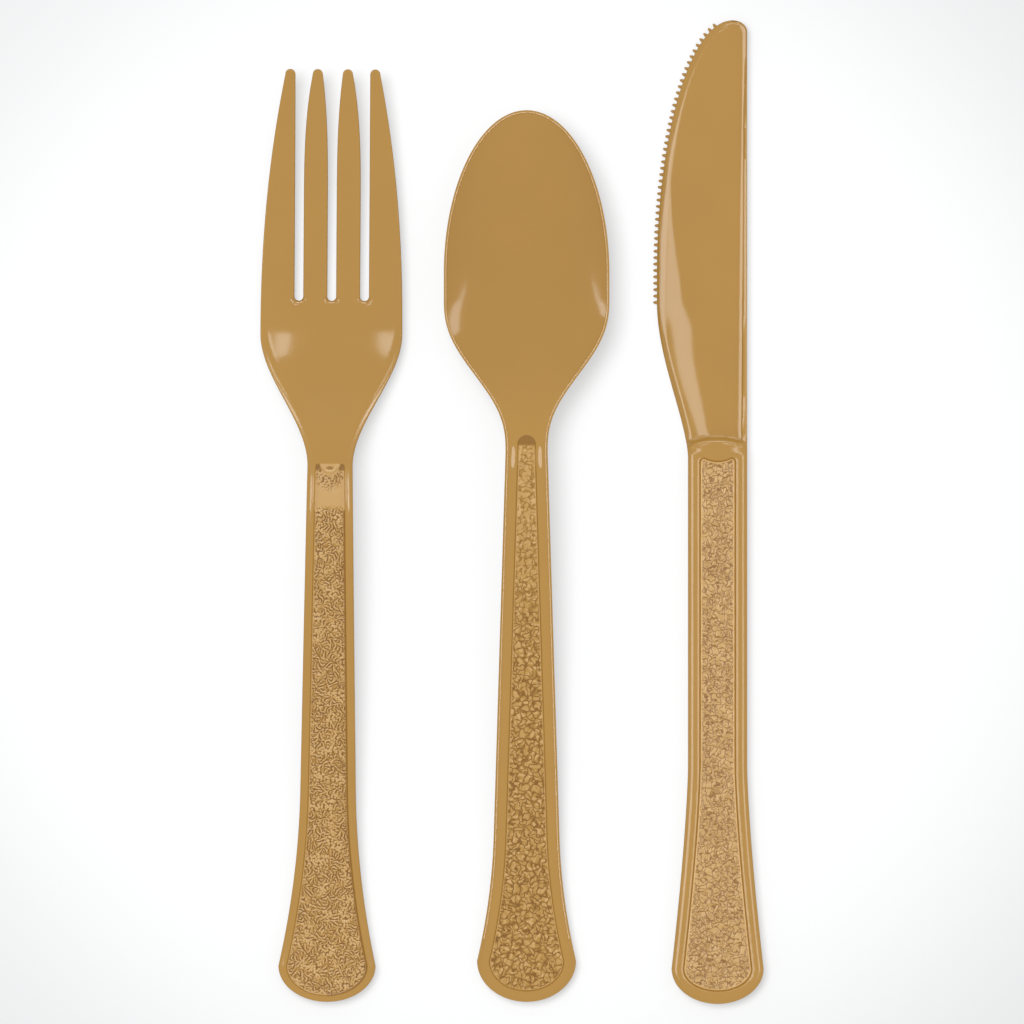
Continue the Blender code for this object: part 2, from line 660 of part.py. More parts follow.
def add_teeth(knife, left, start, end):
    """Join a thin strip of square-ended teeth to the blade's edge."""
    path, normals = edge_path(left, start, end - TOOTH_TIP_MARGIN)
    outer = []
    for i in range(len(path) - 1):
        reach = TOOTH_HEIGHT if i % 2 == 0 else -TOOTH_GAP_DEPTH
        for end_point in (i, i + 1):
            inset = TOOTH_TAPER if end_point == i else -TOOTH_TAPER
            place = path[end_point] + (path[i + 1] - path[i]) * inset
            outer.append(place + normals[end_point] * reach)
    inner = [path[i] - normals[i] * TOOTH_ROOT for i in range(len(path) - 1, -1, -1)]
    curve = bpy.data.curves.new("knife_teeth", "CURVE")
    curve.dimensions = "2D"
    curve.fill_mode = "BOTH"
    curve.extrude = TOOTH_THICKNESS / 2.0
    outline = outer + inner
    spline = curve.splines.new("POLY")
    spline.points.add(len(outline) - 1)
    for point, (x, y) in zip(spline.points, outline):
        point.co = (x, y, 0.0, 1.0)
    spline.use_cyclic_u = True
    flat = bpy.data.objects.new("knife_teeth_outline", curve)
    bpy.context.scene.collection.objects.link(flat)
    bpy.context.view_layer.update()
    evaluated = flat.evaluated_get(bpy.context.evaluated_depsgraph_get())
    mesh = bpy.data.meshes.new_from_object(evaluated)
    bpy.data.objects.remove(flat)
    bm = bmesh.new()
    bm.from_mesh(mesh)
    bmesh.ops.remove_doubles(bm, verts=list(bm.verts), dist=MERGE)
    bmesh.ops.translate(bm, verts=list(bm.verts),
                        vec=(0.0, 0.0, TOOTH_FLOOR + TOOTH_THICKNESS / 2.0))
    bmesh.ops.recalc_face_normals(bm, faces=list(bm.faces))
    bm.to_mesh(mesh)
    bm.free()
    strip = bpy.data.objects.new("knife_teeth", mesh)
    combine(knife, strip, "UNION")


def place_set(fork, spoon, knife):
    """Lay the three side by side, centred on the origin as a group."""
    group = bpy.data.objects.new("set_origin", None)
    link(group, "plastic_cutlery_set")
    places = (
        (fork, -FORK_TO_SPOON, END_STAGGER, FORK_TURN),
        (spoon, 0.0, END_STAGGER, 0.0),
        (knife, SPOON_TO_KNIFE, 0.0, 0.0))
    for body, x, y, turn in places:
        body.parent = group
        body.location = (x, y, 0.0)
        body.rotation_euler = (0.0, 0.0, turn)
        for modifier in body.modifiers:
            tool = modifier.object
            tool.parent = body
    bpy.context.view_layer.update()
    graph = bpy.context.evaluated_depsgraph_get()
    corners = []
    for body, _, _, _ in places:
        shown = body.evaluated_get(graph)
        corners += [shown.matrix_world @ vert.co for vert in shown.data.vertices]
    low = [min(corner[k] for corner in corners) for k in range(3)]
    high = [max(corner[k] for corner in corners) for k in range(3)]
    group.location = (-(low[0] + high[0]) / 2.0, -(low[1] + high[1]) / 2.0, -low[2])


def main():
    """Clear the scene and build the set."""
    for obj in list(bpy.data.objects):
        bpy.data.objects.remove(obj)
    place_set(make_fork(), make_spoon(), make_knife())


main()
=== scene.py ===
"""Looks of a plastic cutlery set: fork, spoon and knife in glossy gold-brown plastic.

Each utensil is one closed mesh on the place of its CAD node. Its plan is filled with
fine triangles, which are then raised to the height of the moulding. Geometry Nodes
press the grain into the handle panels and set the knife's teeth along its edge.
All sizes are in metres. Each utensil is drawn upright from its handle's end, with +Y
towards its head, and then laid in its place in the set.
"""

import logging
import math
from dataclasses import dataclass
from enum import Enum
from typing import NamedTuple

import bpy
import numpy as np
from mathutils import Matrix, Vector, geometry, kdtree


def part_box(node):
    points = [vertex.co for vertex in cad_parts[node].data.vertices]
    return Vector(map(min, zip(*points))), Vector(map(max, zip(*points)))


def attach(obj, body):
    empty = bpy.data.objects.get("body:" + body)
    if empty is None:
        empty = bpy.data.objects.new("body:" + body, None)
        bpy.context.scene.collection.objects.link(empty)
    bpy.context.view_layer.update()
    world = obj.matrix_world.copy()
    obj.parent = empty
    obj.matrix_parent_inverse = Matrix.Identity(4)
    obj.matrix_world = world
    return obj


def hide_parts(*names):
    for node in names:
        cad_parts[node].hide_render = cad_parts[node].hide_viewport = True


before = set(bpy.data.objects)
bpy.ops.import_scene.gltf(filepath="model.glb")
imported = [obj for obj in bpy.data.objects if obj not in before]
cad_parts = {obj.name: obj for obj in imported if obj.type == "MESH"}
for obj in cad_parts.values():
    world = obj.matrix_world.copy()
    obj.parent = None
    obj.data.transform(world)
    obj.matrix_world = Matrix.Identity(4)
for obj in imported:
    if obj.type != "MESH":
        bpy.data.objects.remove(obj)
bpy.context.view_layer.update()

LOG = logging.getLogger("cutlery")
BODY = "root"

MM = 0.001
DENSE_STEP = 0.05 * MM
CURVE_WINDOW = 7
PLAN_UNIT = 1000.0
MERGE_DISTANCE = 1e-6
PLAN_TOLERANCE = 1e-5
PLACE_STEP = 0.1 * MM
ROUND_COUNT = 160
ARC_COUNT = 60
SHARP_ANGLE = math.radians(50.0)

FORK_TO_SPOON = 0.0386
FORK_TURN = math.radians(-0.4)
END_LIFT = 0.0003


def smooth(t: np.ndarray) -> np.ndarray:
    """S-curve from 0 to 1, level at both ends."""
    t = np.clip(t, 0.0, 1.0)
    return t * t * (3.0 - 2.0 * t)


def smoother(t: np.ndarray) -> np.ndarray:
    """Steeper S-curve from 0 to 1."""
    t = np.clip(t, 0.0, 1.0)
    return t ** 3 * (10.0 + t * (6.0 * t - 15.0))


def blend(a: np.ndarray, b: np.ndarray, t: np.ndarray) -> np.ndarray:
    """Value that lies t of the way from a to b."""
    return a + (b - a) * t


def bump(t: np.ndarray) -> np.ndarray:
    """Bell curve that is 1 at t = 0 and fades within about 2 on either side."""
    return np.exp(-t * t)


class Band(NamedTuple):
    """Bell-shaped band: where its middle lies, its half width and its strength."""

    place: float
    width: float
    strength: float = 1.0

    def at(self, distance: np.ndarray) -> np.ndarray:
        """Strength of the band at a distance."""
        return self.strength * bump((distance - self.place) / self.width)


class Span(NamedTuple):
    """Stretch of values from low to high, and what its two ends are turned into."""

    low: float
    high: float
    start: float = 0.0
    end: float = 1.0


def add_object(name: str, data: bpy.types.ID) -> bpy.types.Object:
    """Add an object to the scene.

    Args:
        name: Name of the object.
        data: Mesh, lamp or camera that it shows.

    Returns:
        The new object.
    """
    made = bpy.data.objects.new(name, data)
    bpy.context.scene.collection.objects.link(made)
    return made


def fasten(obj: bpy.types.Object) -> None:
    """Let a finished piece ride on the set's body and report it.

    Args:
        obj: The piece.
    """
    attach(obj, BODY)
    LOG.info("%s: %d faces", obj.name, len(obj.data.polygons))


def quarter_round(y: np.ndarray, half: float, depth: float) -> np.ndarray:
    """Half width at y of an end that is half an ellipse.

    Args:
        y: Distance from the end.
        half: Half width where the round part stops.
        depth: Length of the round part.

    Returns:
        Half width at y.
    """
    t = np.clip(1.0 - y / depth, 0.0, 1.0)
    return half * np.sqrt(1.0 - t * t)


def round_places(depth: float, count: int = ROUND_COUNT) -> np.ndarray:
    """Places along a round end, close together where it turns."""
    return depth * (1.0 - np.cos(np.linspace(0.0, math.pi / 2.0, count)))


def even_places(start: float, end: float) -> np.ndarray:
    """Places from start to end, without either, at most a tenth of a millimetre apart."""
    count = max(int(abs(end - start) / PLACE_STEP), 2)
    return np.linspace(start, end, count + 1)[1:-1]


def arc(centre: tuple[float, float], radius: float, start: float, end: float) -> np.ndarray:
    """Points on an arc, from the angle start to the angle end.

    Args:
        centre: Middle of the arc.
        radius: Its radius.
        start: First angle, in radians.
        end: Last angle, in radians.

    Returns:
        The points, in order.
    """
    angles = np.linspace(start, end, ARC_COUNT)
    return np.column_stack([centre[0] + radius * np.cos(angles),
                            centre[1] + radius * np.sin(angles)])


def resample(points: np.ndarray, step: float, turn: float) -> np.ndarray:
    """Space the points of a closed line anew.

    Args:
        points: Corners of the line, in order.
        step: Longest distance between two neighbours.
        turn: Largest change of direction from one point to the next, in radians.

    Returns:
        New points on the same line, closer together where it bends.
    """
    closed = np.vstack([points, points[:1]])
    gaps = np.hypot(*np.diff(closed, axis=0).T)
    travelled = np.concatenate([[0.0], np.cumsum(gaps)])
    count = int(travelled[-1] / DENSE_STEP)
    places = np.linspace(0.0, travelled[-1], count + 1)
    dense = np.column_stack([np.interp(places, travelled, closed[:, k]) for k in (0, 1)])
    headings = np.unwrap(np.arctan2(*np.diff(dense, axis=0).T[::-1]))
    bends = np.abs(np.diff(headings, append=headings[:1] + round(
        (headings[-1] - headings[0]) / (2.0 * math.pi)) * 2.0 * math.pi))
    window = np.ones(CURVE_WINDOW) / CURVE_WINDOW
    bends = np.convolve(np.concatenate([bends[-3:], bends, bends[:3]]), window, "valid")
    length = travelled[-1] / count
    need = np.maximum(length / step, bends / turn)
    progress = np.concatenate([[0.0], np.cumsum(need)])
    targets = np.linspace(0.0, progress[-1], int(math.ceil(progress[-1])), endpoint=False)
    chosen = np.interp(targets, progress, places)
    return np.column_stack([np.interp(chosen, places, dense[:, k]) for k in (0, 1)])


class Border:
    """Closed outline, run anticlockwise, that measures how far inside it a point lies."""

    def __init__(self, points: np.ndarray, step: float, turn: float) -> None:
        """Sample the outline and prepare it for measuring.

        Args:
            points: Corners of the outline, anticlockwise.
            step: Longest distance between two samples.
            turn: Largest change of direction between two samples, in radians.
        """
        self.points = resample(points, step, turn)
        along = np.roll(self.points, -1, axis=0) - np.roll(self.points, 1, axis=0)
        along /= np.hypot(*along.T)[:, None]
        self.normals = np.column_stack([-along[:, 1], along[:, 0]])
        self.tree = kdtree.KDTree(len(self.points))
        for number, (x, y) in enumerate(self.points):
            self.tree.insert((x, y, 0.0), number)
        self.tree.balance()

    def offset(self, distance: float) -> np.ndarray:
        """Samples moved the given distance into the outline."""
        return self.points + self.normals * distance

    def depth(self, points: np.ndarray) -> np.ndarray:
        """Distance of each point inside the outline, negative for points outside it.

        Args:
            points: Places in the plan.

        Returns:
            The distances.
        """
        nearest = np.array([self.tree.find((x, y, 0.0))[1] for x, y in points])
        count = len(self.points)
        shortest = np.full(len(points), np.inf)
        for shift in (-1, 0):
            start = self.points[(nearest + shift) % count]
            side = self.points[(nearest + shift + 1) % count] - start
            share = np.sum((points - start) * side, axis=1) / np.sum(side * side, axis=1)
            gap = points - (start + side * np.clip(share, 0.0, 1.0)[:, None])
            shortest = np.minimum(shortest, np.hypot(*gap.T))
        sign = np.sum((points - self.points[nearest]) * self.normals[nearest], axis=1)
        return np.where(sign >= 0.0, shortest, -shortest)


def hexagonal(low: np.ndarray, high: np.ndarray, step: float) -> np.ndarray:
    """Evenly packed points that fill a rectangle.

    Args:
        low: Lower left corner.
        high: Upper right corner.
        step: Distance between neighbours.

    Returns:
        The points, with every other row shifted by half a step.
    """
    rise = step * math.sqrt(3.0) / 2.0
    rows = np.arange(low[1], high[1], rise)
    columns = np.arange(low[0], high[0], step)
    x, y = np.meshgrid(columns, rows)
    x = x + (np.arange(len(rows)) % 2)[:, None] * step / 2.0
    return np.column_stack([x.ravel(), y.ravel()])


@dataclass(frozen=True)
class Fineness:
    """Distances between the points of a utensil's mesh, with the loops in millimetres."""

    outline: float = 0.28 * MM
    turn: float = 0.16
    panel: float = 0.15 * MM
    face: float = 0.45 * MM
    base: float = 1.1 * MM
    edge_loops: tuple[float, ...] = (0.02, 0.06, 0.12, 0.20, 0.30)
    bevel_loops: tuple[float, ...] = (0.42, 0.55, 0.68, 0.80, 0.92, 1.06)
    wall_loops: tuple[float, ...] = (-0.14, -0.07, 0.0, 0.06, 0.12, 0.18, 0.26)
    hollow_loops: tuple[float, ...] = (-0.15, 0.0, 0.15, 0.4)
    bevel_margin: float = 0.3 * MM
    hollow_clear: tuple[float, float] = (-0.6 * MM, 0.9 * MM)
    base_margin: float = 0.7 * MM


@dataclass(frozen=True)
class HandleShape:
    """Outline of a handle: a round end, a flare and a slim taper up to the neck."""

    length: float
    neck_width: float
    waist_width: float
    end_width: float
    end_depth: float
    flare_length: float
    flare_power: float

    def half(self, y: np.ndarray) -> np.ndarray:
        """Half width at y, with y counted from the handle's end.

        Args:
            y: Distance from the handle's end.

        Returns:
            Half the handle's width.
        """
        y = np.asarray(y, dtype=float)
        along = np.clip((y - self.end_depth) / (self.length - self.end_depth), 0.0, 1.0)
        slim = blend(self.waist_width, self.neck_width, along) / 2.0
        out = np.clip(1.0 - (y - self.end_depth) / self.flare_length, 0.0, 1.0)
        shaft = slim + (self.end_width - self.waist_width) / 2.0 * out ** self.flare_power
        end = quarter_round(y, self.end_width / 2.0, self.end_depth)
        return np.where(y < self.end_depth, end, shaft)

    def places(self) -> np.ndarray:
        """Places from the handle's end to its neck."""
        return np.concatenate([round_places(self.end_depth),
                               even_places(self.end_depth, self.length)])


@dataclass(frozen=True)
class EdgeProfile:
    """Section of a moulded edge: a bevel with a soft ridge and a rounded corner."""

    bevel_width: float
    bevel_drop: float
    softness: float
    corner: float
    head_corner: float
    fade_start: float
    fade_length: float
    level_place: float = 1.0 * MM

    def drop(self, depth: np.ndarray, y: np.ndarray) -> np.ndarray:
        """How far the edge falls below the face.

        Args:
            depth: Distance in from the outline.
            y: Distance from the handle's end.

        Returns:
            The fall, which is 0 well inside the outline.
        """
        head = smooth((y - self.fade_start) / self.fade_length)
        short = self.bevel_width - depth
        bevel = (short + np.sqrt(short ** 2 + self.softness ** 2)) / 2.0
        bevel *= self.bevel_drop / self.bevel_width
        rest = (np.sqrt(self.softness ** 2 + self.level_place ** 2) - self.level_place) / 2.0
        bevel = np.maximum(bevel - rest * self.bevel_drop / self.bevel_width, 0.0)
        radius = blend(self.corner, self.head_corner, head)
        t = np.clip(1.0 - depth / radius, 0.0, 1.0)
        return bevel * (1.0 - head) + radius * (1.0 - np.sqrt(1.0 - t * t))


@dataclass(frozen=True)
class PanelShape:
    """Sunk panel on a handle's face, with its grain inside."""

    rim: float
    end_rim: float
    end: float
    corner: float
    recess: float
    wall: float
    ramp: float = 0.3 * MM
    ramp_start: float = 0.3
    dip: float = 0.0
    groove_depth: float = 0.0
    groove_place: float = 0.0
    groove_width: float = 0.1 * MM
    grain_margin: float = 0.25 * MM
    grain_fade: float = 0.25 * MM

    def outline(self, handle: HandleShape) -> np.ndarray:
        """Corners of the panel's outline, anticlockwise.

        Args:
            handle: The handle that the panel lies on.

        Returns:
            The corners.
        """
        inner_half = handle.end_width / 2.0 - self.rim
        inner_depth = handle.end_depth - self.end_rim
        corner = min(self.corner, float(handle.half(self.end)) - self.rim)
        low = round_places(inner_depth)
        middle = even_places(handle.end_depth, self.end - corner)
        high = round_places(corner)[::-1]
        right = [np.column_stack([quarter_round(low, inner_half, inner_depth),
                                  low + self.end_rim])]
        right.append(np.column_stack([handle.half(middle) - self.rim, middle]))
        top_half = handle.half(self.end - high) - self.rim - corner
        right.append(np.column_stack([top_half + quarter_round(high, corner, corner),
                                      self.end - high]))
        if self.dip > 0.0:
            share = np.linspace(1.0, 0.0, ARC_COUNT)[1:]
            right.append(np.column_stack([share * top_half[-1],
                                          self.end - self.dip * (1.0 - share ** 2)]))
        return mirrored(np.vstack(right))

    def depth(self, inside: np.ndarray, y: np.ndarray) -> np.ndarray:
        """Depth of the recess, its wall and its groove.

        Args:
            inside: Distance inside the panel's outline.
            y: Distance from the handle's end.

        Returns:
            Depth below the handle's face.
        """
        groove = bump((inside - self.groove_place) / self.groove_width)
        share = blend(self.ramp_start, 1.0, smooth((self.end - y) / self.ramp))
        return self.recess * share * smooth(inside / self.wall) + self.groove_depth * groove


def mirrored(right: np.ndarray) -> np.ndarray:
    """Whole outline from its right half, which runs from its lowest point to its highest.

    Args:
        right: Points of the right half.

    Returns:
        Points of the whole outline, anticlockwise.
    """
    left = right[::-1] * np.array([-1.0, 1.0])
    apart = np.abs(left[:, 0]) > MERGE_DISTANCE
    return np.vstack([right, left[apart]])


def rising_line(y: np.ndarray, rest: float, crest: float, height: float) -> np.ndarray:
    """Underside of a handle that rests near its end and rises to its crest."""
    end = END_LIFT * np.clip(1.0 - y / rest, 0.0, 1.0) ** 2
    return np.where(y < rest, end, height * smooth((y - rest) / (crest - rest)))


@dataclass(frozen=True)
class Placement:
    """Where a utensil lies in the set."""

    x: float
    y: float
    turn: float = 0.0

    def lay(self, points: np.ndarray) -> np.ndarray:
        """Points of a utensil in the set's own frame.

        Args:
            points: Points of the utensil, upright from its handle's end.

        Returns:
            The same points where the utensil lies.
        """
        cos, sin = math.cos(self.turn), math.sin(self.turn)
        x = self.x + points[:, 0] * cos - points[:, 1] * sin
        y = self.y + points[:, 0] * sin + points[:, 1] * cos
        return np.column_stack([x, y, points[:, 2]])


class GrainStyle(Enum):
    """Kinds of grain pressed into a handle's panel."""

    RIDGED = "ridged"
    PEBBLED = "pebbled"
    ENGRAVED = "engraved"


class TreeWriter:
    """Adds nodes to a tree, so that a pattern reads as a list of steps."""

    def __init__(self, tree: bpy.types.NodeTree) -> None:
        """Start on an empty tree."""
        self.tree = tree

    def node(self, kind: str, inputs: dict[str, object] | None = None,
             **settings: object) -> bpy.types.Node:
        """Add a node.

        Args:
            kind: The node's type.
            inputs: Value or output for each input, by the input's name.
            settings: Properties of the node.

        Returns:
            The new node.
        """
        made = self.tree.nodes.new(kind)
        for name, value in settings.items():
            setattr(made, name, value)
        for name, source in (inputs or {}).items():
            self.feed(next(s for s in made.inputs if s.enabled and s.name == name), source)
        return made

    def feed(self, socket: bpy.types.NodeSocket, source: object) -> None:
        """Join an output to a socket, or set the socket's value.

        Args:
            socket: Input of a node.
            source: Node, output or plain value.
        """
        if isinstance(source, bpy.types.Node):
            source = next(out for out in source.outputs if out.enabled)
        if isinstance(source, bpy.types.NodeSocket):
            self.tree.links.new(source, socket)
        elif source is not None:
            socket.default_value = source

    def step(self, kind: str, operation: str, sources: tuple[object, ...]) -> bpy.types.Node:
        """Add a node whose inputs are fed in their own order.

        Args:
            kind: The node's type.
            operation: What it works out, or None if it has no choice.
            sources: Values or outputs, one for each input.

        Returns:
            The new node.
        """
        made = self.node(kind, **({"operation": operation} if operation else {}))
        for socket, source in zip((s for s in made.inputs if s.enabled), sources):
            self.feed(socket, source)
        return made

    def math(self, operation: str, *sources: object) -> bpy.types.Node:
        """Add a math node."""
        return self.step("ShaderNodeMath", operation, sources)

    def vector(self, operation: str, *sources: object) -> bpy.types.Node:
        """Add a vector math node."""
        return self.step("ShaderNodeVectorMath", operation, sources)

    def spread(self, value: object, low: float, high: float, start: float = 0.0,
               end: float = 1.0, kind: str = "SMOOTHSTEP") -> bpy.types.Node:
        """Add a step that runs from start to end as the value goes from low to high."""
        return self.node("ShaderNodeMapRange", {
            "Value": value, "From Min": low, "From Max": high, "To Min": start, "To Max": end,
        }, interpolation_type=kind)

    def named(self, name: str) -> object:
        """A number that the mesh carries under a name, in either kind of tree.

        Args:
            name: Name of the number.

        Returns:
            Node or output that holds it.
        """
        if self.tree.bl_idname == "ShaderNodeTree":
            return self.node("ShaderNodeAttribute", attribute_name=name).outputs["Fac"]
        return self.node("GeometryNodeInputNamedAttribute", {"Name": name}, data_type="FLOAT")

    def cells(self, place: object, scale: float, feature: str) -> bpy.types.NodeSocket:
        """Add a texture of flat cells, and give the distance that its feature names.

        Args:
            place: Position that the texture is drawn on.
            scale: Cells for each unit of length.
            feature: Kind of distance.

        Returns:
            Output of the distance.
        """
        made = self.node("ShaderNodeTexVoronoi", {"Vector": place, "Scale": scale},
                         feature=feature, voronoi_dimensions="2D")
        return made.outputs["Distance"]

    def noise(self, place: object, scale: float, detail: float = 0.0) -> bpy.types.Node:
        """Add a noise texture."""
        return self.node("ShaderNodeTexNoise", {"Vector": place, "Scale": scale,
                                                "Detail": detail})


def open_tree(name: str, sizes: tuple[str, ...]) -> tuple[TreeWriter, bpy.types.NodeOutputs]:
    """Start a Geometry Nodes tree that takes a shape, some lengths and a plastic.

    Args:
        name: Name of the tree.
        sizes: Names of the lengths.

    Returns:
        Writer of the tree, and the outputs of its input node.
    """
    tree = bpy.data.node_groups.new(name, "GeometryNodeTree")
    face = tree.interface
    face.new_socket("Geometry", in_out="INPUT", socket_type="NodeSocketGeometry")
    for size in sizes:
        face.new_socket(size, in_out="INPUT", socket_type="NodeSocketFloat")
    face.new_socket("Plastic", in_out="INPUT", socket_type="NodeSocketMaterial")
    face.new_socket("Geometry", in_out="OUTPUT", socket_type="NodeSocketGeometry")
    write = TreeWriter(tree)
    return write, write.node("NodeGroupInput").outputs


def close_tree(write: TreeWriter, shape: bpy.types.Node, plastic: bpy.types.NodeSocket,
               rounded: bool = False) -> bpy.types.NodeTree:
    """End a tree: make its shape real and give it the plastic.

    Args:
        write: Writer of the tree.
        shape: Node that makes the shape.
        plastic: Socket that holds the plastic.
        rounded: Whether the faces are shaded smooth.

    Returns:
        The finished tree.
    """
    whole = write.node("GeometryNodeRealizeInstances", {"Geometry": shape})
    if rounded:
        whole = write.node("GeometryNodeSetShadeSmooth", {"Geometry": whole})
    dyed = write.node("GeometryNodeSetMaterial", {"Geometry": whole, "Material": plastic})
    write.node("NodeGroupOutput", {"Geometry": dyed})
    return write.tree


@dataclass(frozen=True)
class Grain:
    """Moulded grain: its style, the size and depth of its marks, and how each style is drawn.

    Scales and spans count in marks.
    """

    style: GrainStyle
    spacing: float
    depth: float
    seed: int
    seed_step: tuple[float, float] = (3.7, 1.3)
    heading_scale: float = 0.20
    headings: Span = Span(0.25, 0.75, -2.2, 3.8)
    ridge_scale: float = 0.60
    ridge_frequency: float = 1.7
    ridge_evenness: float = 0.72
    ridge_height: Span = Span(0.36, 0.67)
    bead_scale: float = 1.25
    bead_height: Span = Span(0.28, 0.74, 1.0, 0.0)
    bead_patch_scale: float = 0.22
    bead_patches: Span = Span(0.50, 0.66)
    bend_scale: float = 0.8
    bend_reach: float = 2.4
    pebble_seam: Span = Span(0.0, 1.0, 0.14, 0.16)
    pebble_wall: Span = Span(0.10, 1.0)
    pebble_round: Span = Span(0.28, 0.80, 1.0, 0.45)
    pebble_folds: Span = Span(0.0, 1.0, 0.58, 1.0)
    pebble_ground_scale: float = 0.45
    pebble_ground: Span = Span(0.35, 0.65, 0.72, 0.98)
    pebble_gap_scale: float = 0.9
    pebble_gaps: Span = Span(0.54, 0.66)
    line_wall: Span = Span(0.03, 0.18)
    fine_scale: float = 1.7
    fine_wall: Span = Span(0.02, 0.16, 0.10, 1.0)
    fine_patch_scale: float = 0.30
    fine_patches: Span = Span(0.46, 0.66)
    break_scale: float = 1.1
    breaks: Span = Span(0.62, 0.78, 0.0, 0.6)
    line_ground_scale: float = 0.55
    line_ground: Span = Span(0.38, 0.62, 0.74, 0.88)

    def tree(self) -> bpy.types.NodeTree:
        """Geometry Nodes tree that presses the grain into a mesh where its mask allows.

        Returns:
            The new tree.
        """
        write, given = open_tree("press_" + self.style.value + "_grain",
                                 ("Mark spacing", "Mark depth"))
        place = write.node("GeometryNodeInputPosition")
        hollow = self.hollow(write, place, given["Mark spacing"])
        fall = write.math("MULTIPLY", write.math("MULTIPLY", hollow, given["Mark depth"]), -1.0)
        moved = write.node("GeometryNodeSetPosition", {
            "Geometry": given["Geometry"],
            "Offset": write.node("ShaderNodeCombineXYZ", {"Z": fall})})
        return close_tree(write, moved, given["Plastic"])

    def hollow(self, write: TreeWriter, place: object, spacing: object) -> bpy.types.Node:
        """Depth of the grain where its mask allows, from 0 on its tops to 1 in its valleys.

        Args:
            write: Writer of the tree.
            place: Position in metres.
            spacing: Distance between marks.

        Returns:
            Node whose output is the depth.
        """
        inverse = write.math("DIVIDE", 1.0, spacing)
        scaled = write.node("ShaderNodeVectorMath", {"Vector": place, "Scale": inverse},
                            operation="SCALE")
        height = self.pattern(write, scaled)
        return write.math("MULTIPLY", write.math("SUBTRACT", 1.0, height), write.named("cover"))

    def pattern(self, write: TreeWriter, place: bpy.types.Node) -> bpy.types.Node:
        """Height of the grain, from 0 in its valleys to 1 on its tops.

        Args:
            write: Writer of the tree.
            place: Position, counted in marks.

        Returns:
            Node whose output is the height.
        """
        step_x, step_y = self.seed_step
        shifted = write.vector("MULTIPLY_ADD", place, (1.0, 1.0, 0.0),
                               (self.seed * step_x, self.seed * step_y, 0.0))
        if self.style is GrainStyle.RIDGED:
            return self.ridged(write, shifted)
        bend = write.vector("SUBTRACT",
                            write.noise(shifted, self.bend_scale, 1.0).outputs["Color"],
                            (0.5, 0.5, 0.5))
        bent = write.vector("MULTIPLY_ADD", bend, (self.bend_reach, self.bend_reach, 0.0),
                            shifted)
        if self.style is GrainStyle.PEBBLED:
            return self.pebbled(write, shifted, bent)
        return self.engraved(write, shifted, bent)

    def ridged(self, write: TreeWriter, place: bpy.types.Node) -> bpy.types.Node:
        """Ridges, with small round beads between them in places.

        Args:
            write: Writer of the tree.
            place: Position, counted in marks.

        Returns:
            Node whose output is the height.
        """
        beads = write.cells(place, self.bead_scale, "F1")
        round_tops = write.spread(beads, *self.bead_height)
        where = write.spread(write.noise(place, self.bead_patch_scale), *self.bead_patches)
        return write.node("ShaderNodeMix", {"Factor": where, "A": self.ridges(write, place),
                                            "B": round_tops}, data_type="FLOAT")

    def pebbled(self, write: TreeWriter, place: bpy.types.Node,
                bent: bpy.types.Node) -> bpy.types.Node:
        """Folded pebbles with dark seams, which thin out where the marks stand apart.

        Args:
            write: Writer of the tree.
            place: Position, counted in marks.
            bent: The same position, pushed about so that the seams curl.

        Returns:
            Node whose output is the height.
        """
        edge = write.cells(bent, 1.0, "DISTANCE_TO_EDGE")
        dense = write.named("dense")
        reach = write.spread(dense, *self.pebble_seam, "LINEAR")
        tops = write.spread(write.math("DIVIDE", edge, reach), *self.pebble_wall)
        rounds = write.spread(write.cells(bent, 1.0, "F1"), *self.pebble_round)
        folds = write.spread(self.ridges(write, place), *self.pebble_folds)
        folded = write.math("MULTIPLY", write.math("MULTIPLY", tops, rounds), folds)
        ground = write.spread(write.noise(place, self.pebble_ground_scale), *self.pebble_ground)
        gaps = write.spread(write.noise(place, self.pebble_gap_scale, 1.0), *self.pebble_gaps)
        bare = write.math("MULTIPLY", gaps, write.math("SUBTRACT", 1.0, dense))
        return write.math("MINIMUM", write.math("MAXIMUM", folded, bare), ground)

    def engraved(self, write: TreeWriter, place: bpy.types.Node,
                 bent: bpy.types.Node) -> bpy.types.Node:
        """Thin curled lines on an even ground, with finer ones in patches.

        Args:
            write: Writer of the tree.
            place: Position, counted in marks.
            bent: The same position, pushed about so that the lines curl.

        Returns:
            Node whose output is the height.
        """
        edge = write.cells(bent, 1.0, "DISTANCE_TO_EDGE")
        lines = write.spread(edge, *self.line_wall)
        small = write.cells(bent, self.fine_scale, "DISTANCE_TO_EDGE")
        fine = write.spread(small, *self.fine_wall)
        patches = write.spread(write.noise(place, self.fine_patch_scale), *self.fine_patches)
        marks = write.math("MINIMUM", lines, write.math("MAXIMUM", fine, patches))
        breaks = write.spread(write.noise(place, self.break_scale), *self.breaks)
        ground = write.spread(write.noise(place, self.line_ground_scale), *self.line_ground)
        return write.math("MINIMUM", write.math("MAXIMUM", marks, breaks), ground)

    def ridges(self, write: TreeWriter, place: bpy.types.Node) -> bpy.types.Node:
        """Ridges of one width that run side by side and turn slowly, as on a fingertip.

        Args:
            write: Writer of the tree.
            place: Position, counted in marks.

        Returns:
            Node whose output is the height of the ridges, from 0 to 1.
        """
        heading = write.spread(write.noise(place, self.heading_scale), *self.headings, "LINEAR")
        flow = write.node("ShaderNodeTexGabor", {
            "Vector": place, "Scale": self.ridge_scale, "Frequency": self.ridge_frequency,
            "Anisotropy": self.ridge_evenness, "Orientation": heading}, gabor_type="2D")
        return write.spread(flow.outputs["Value"], *self.ridge_height)


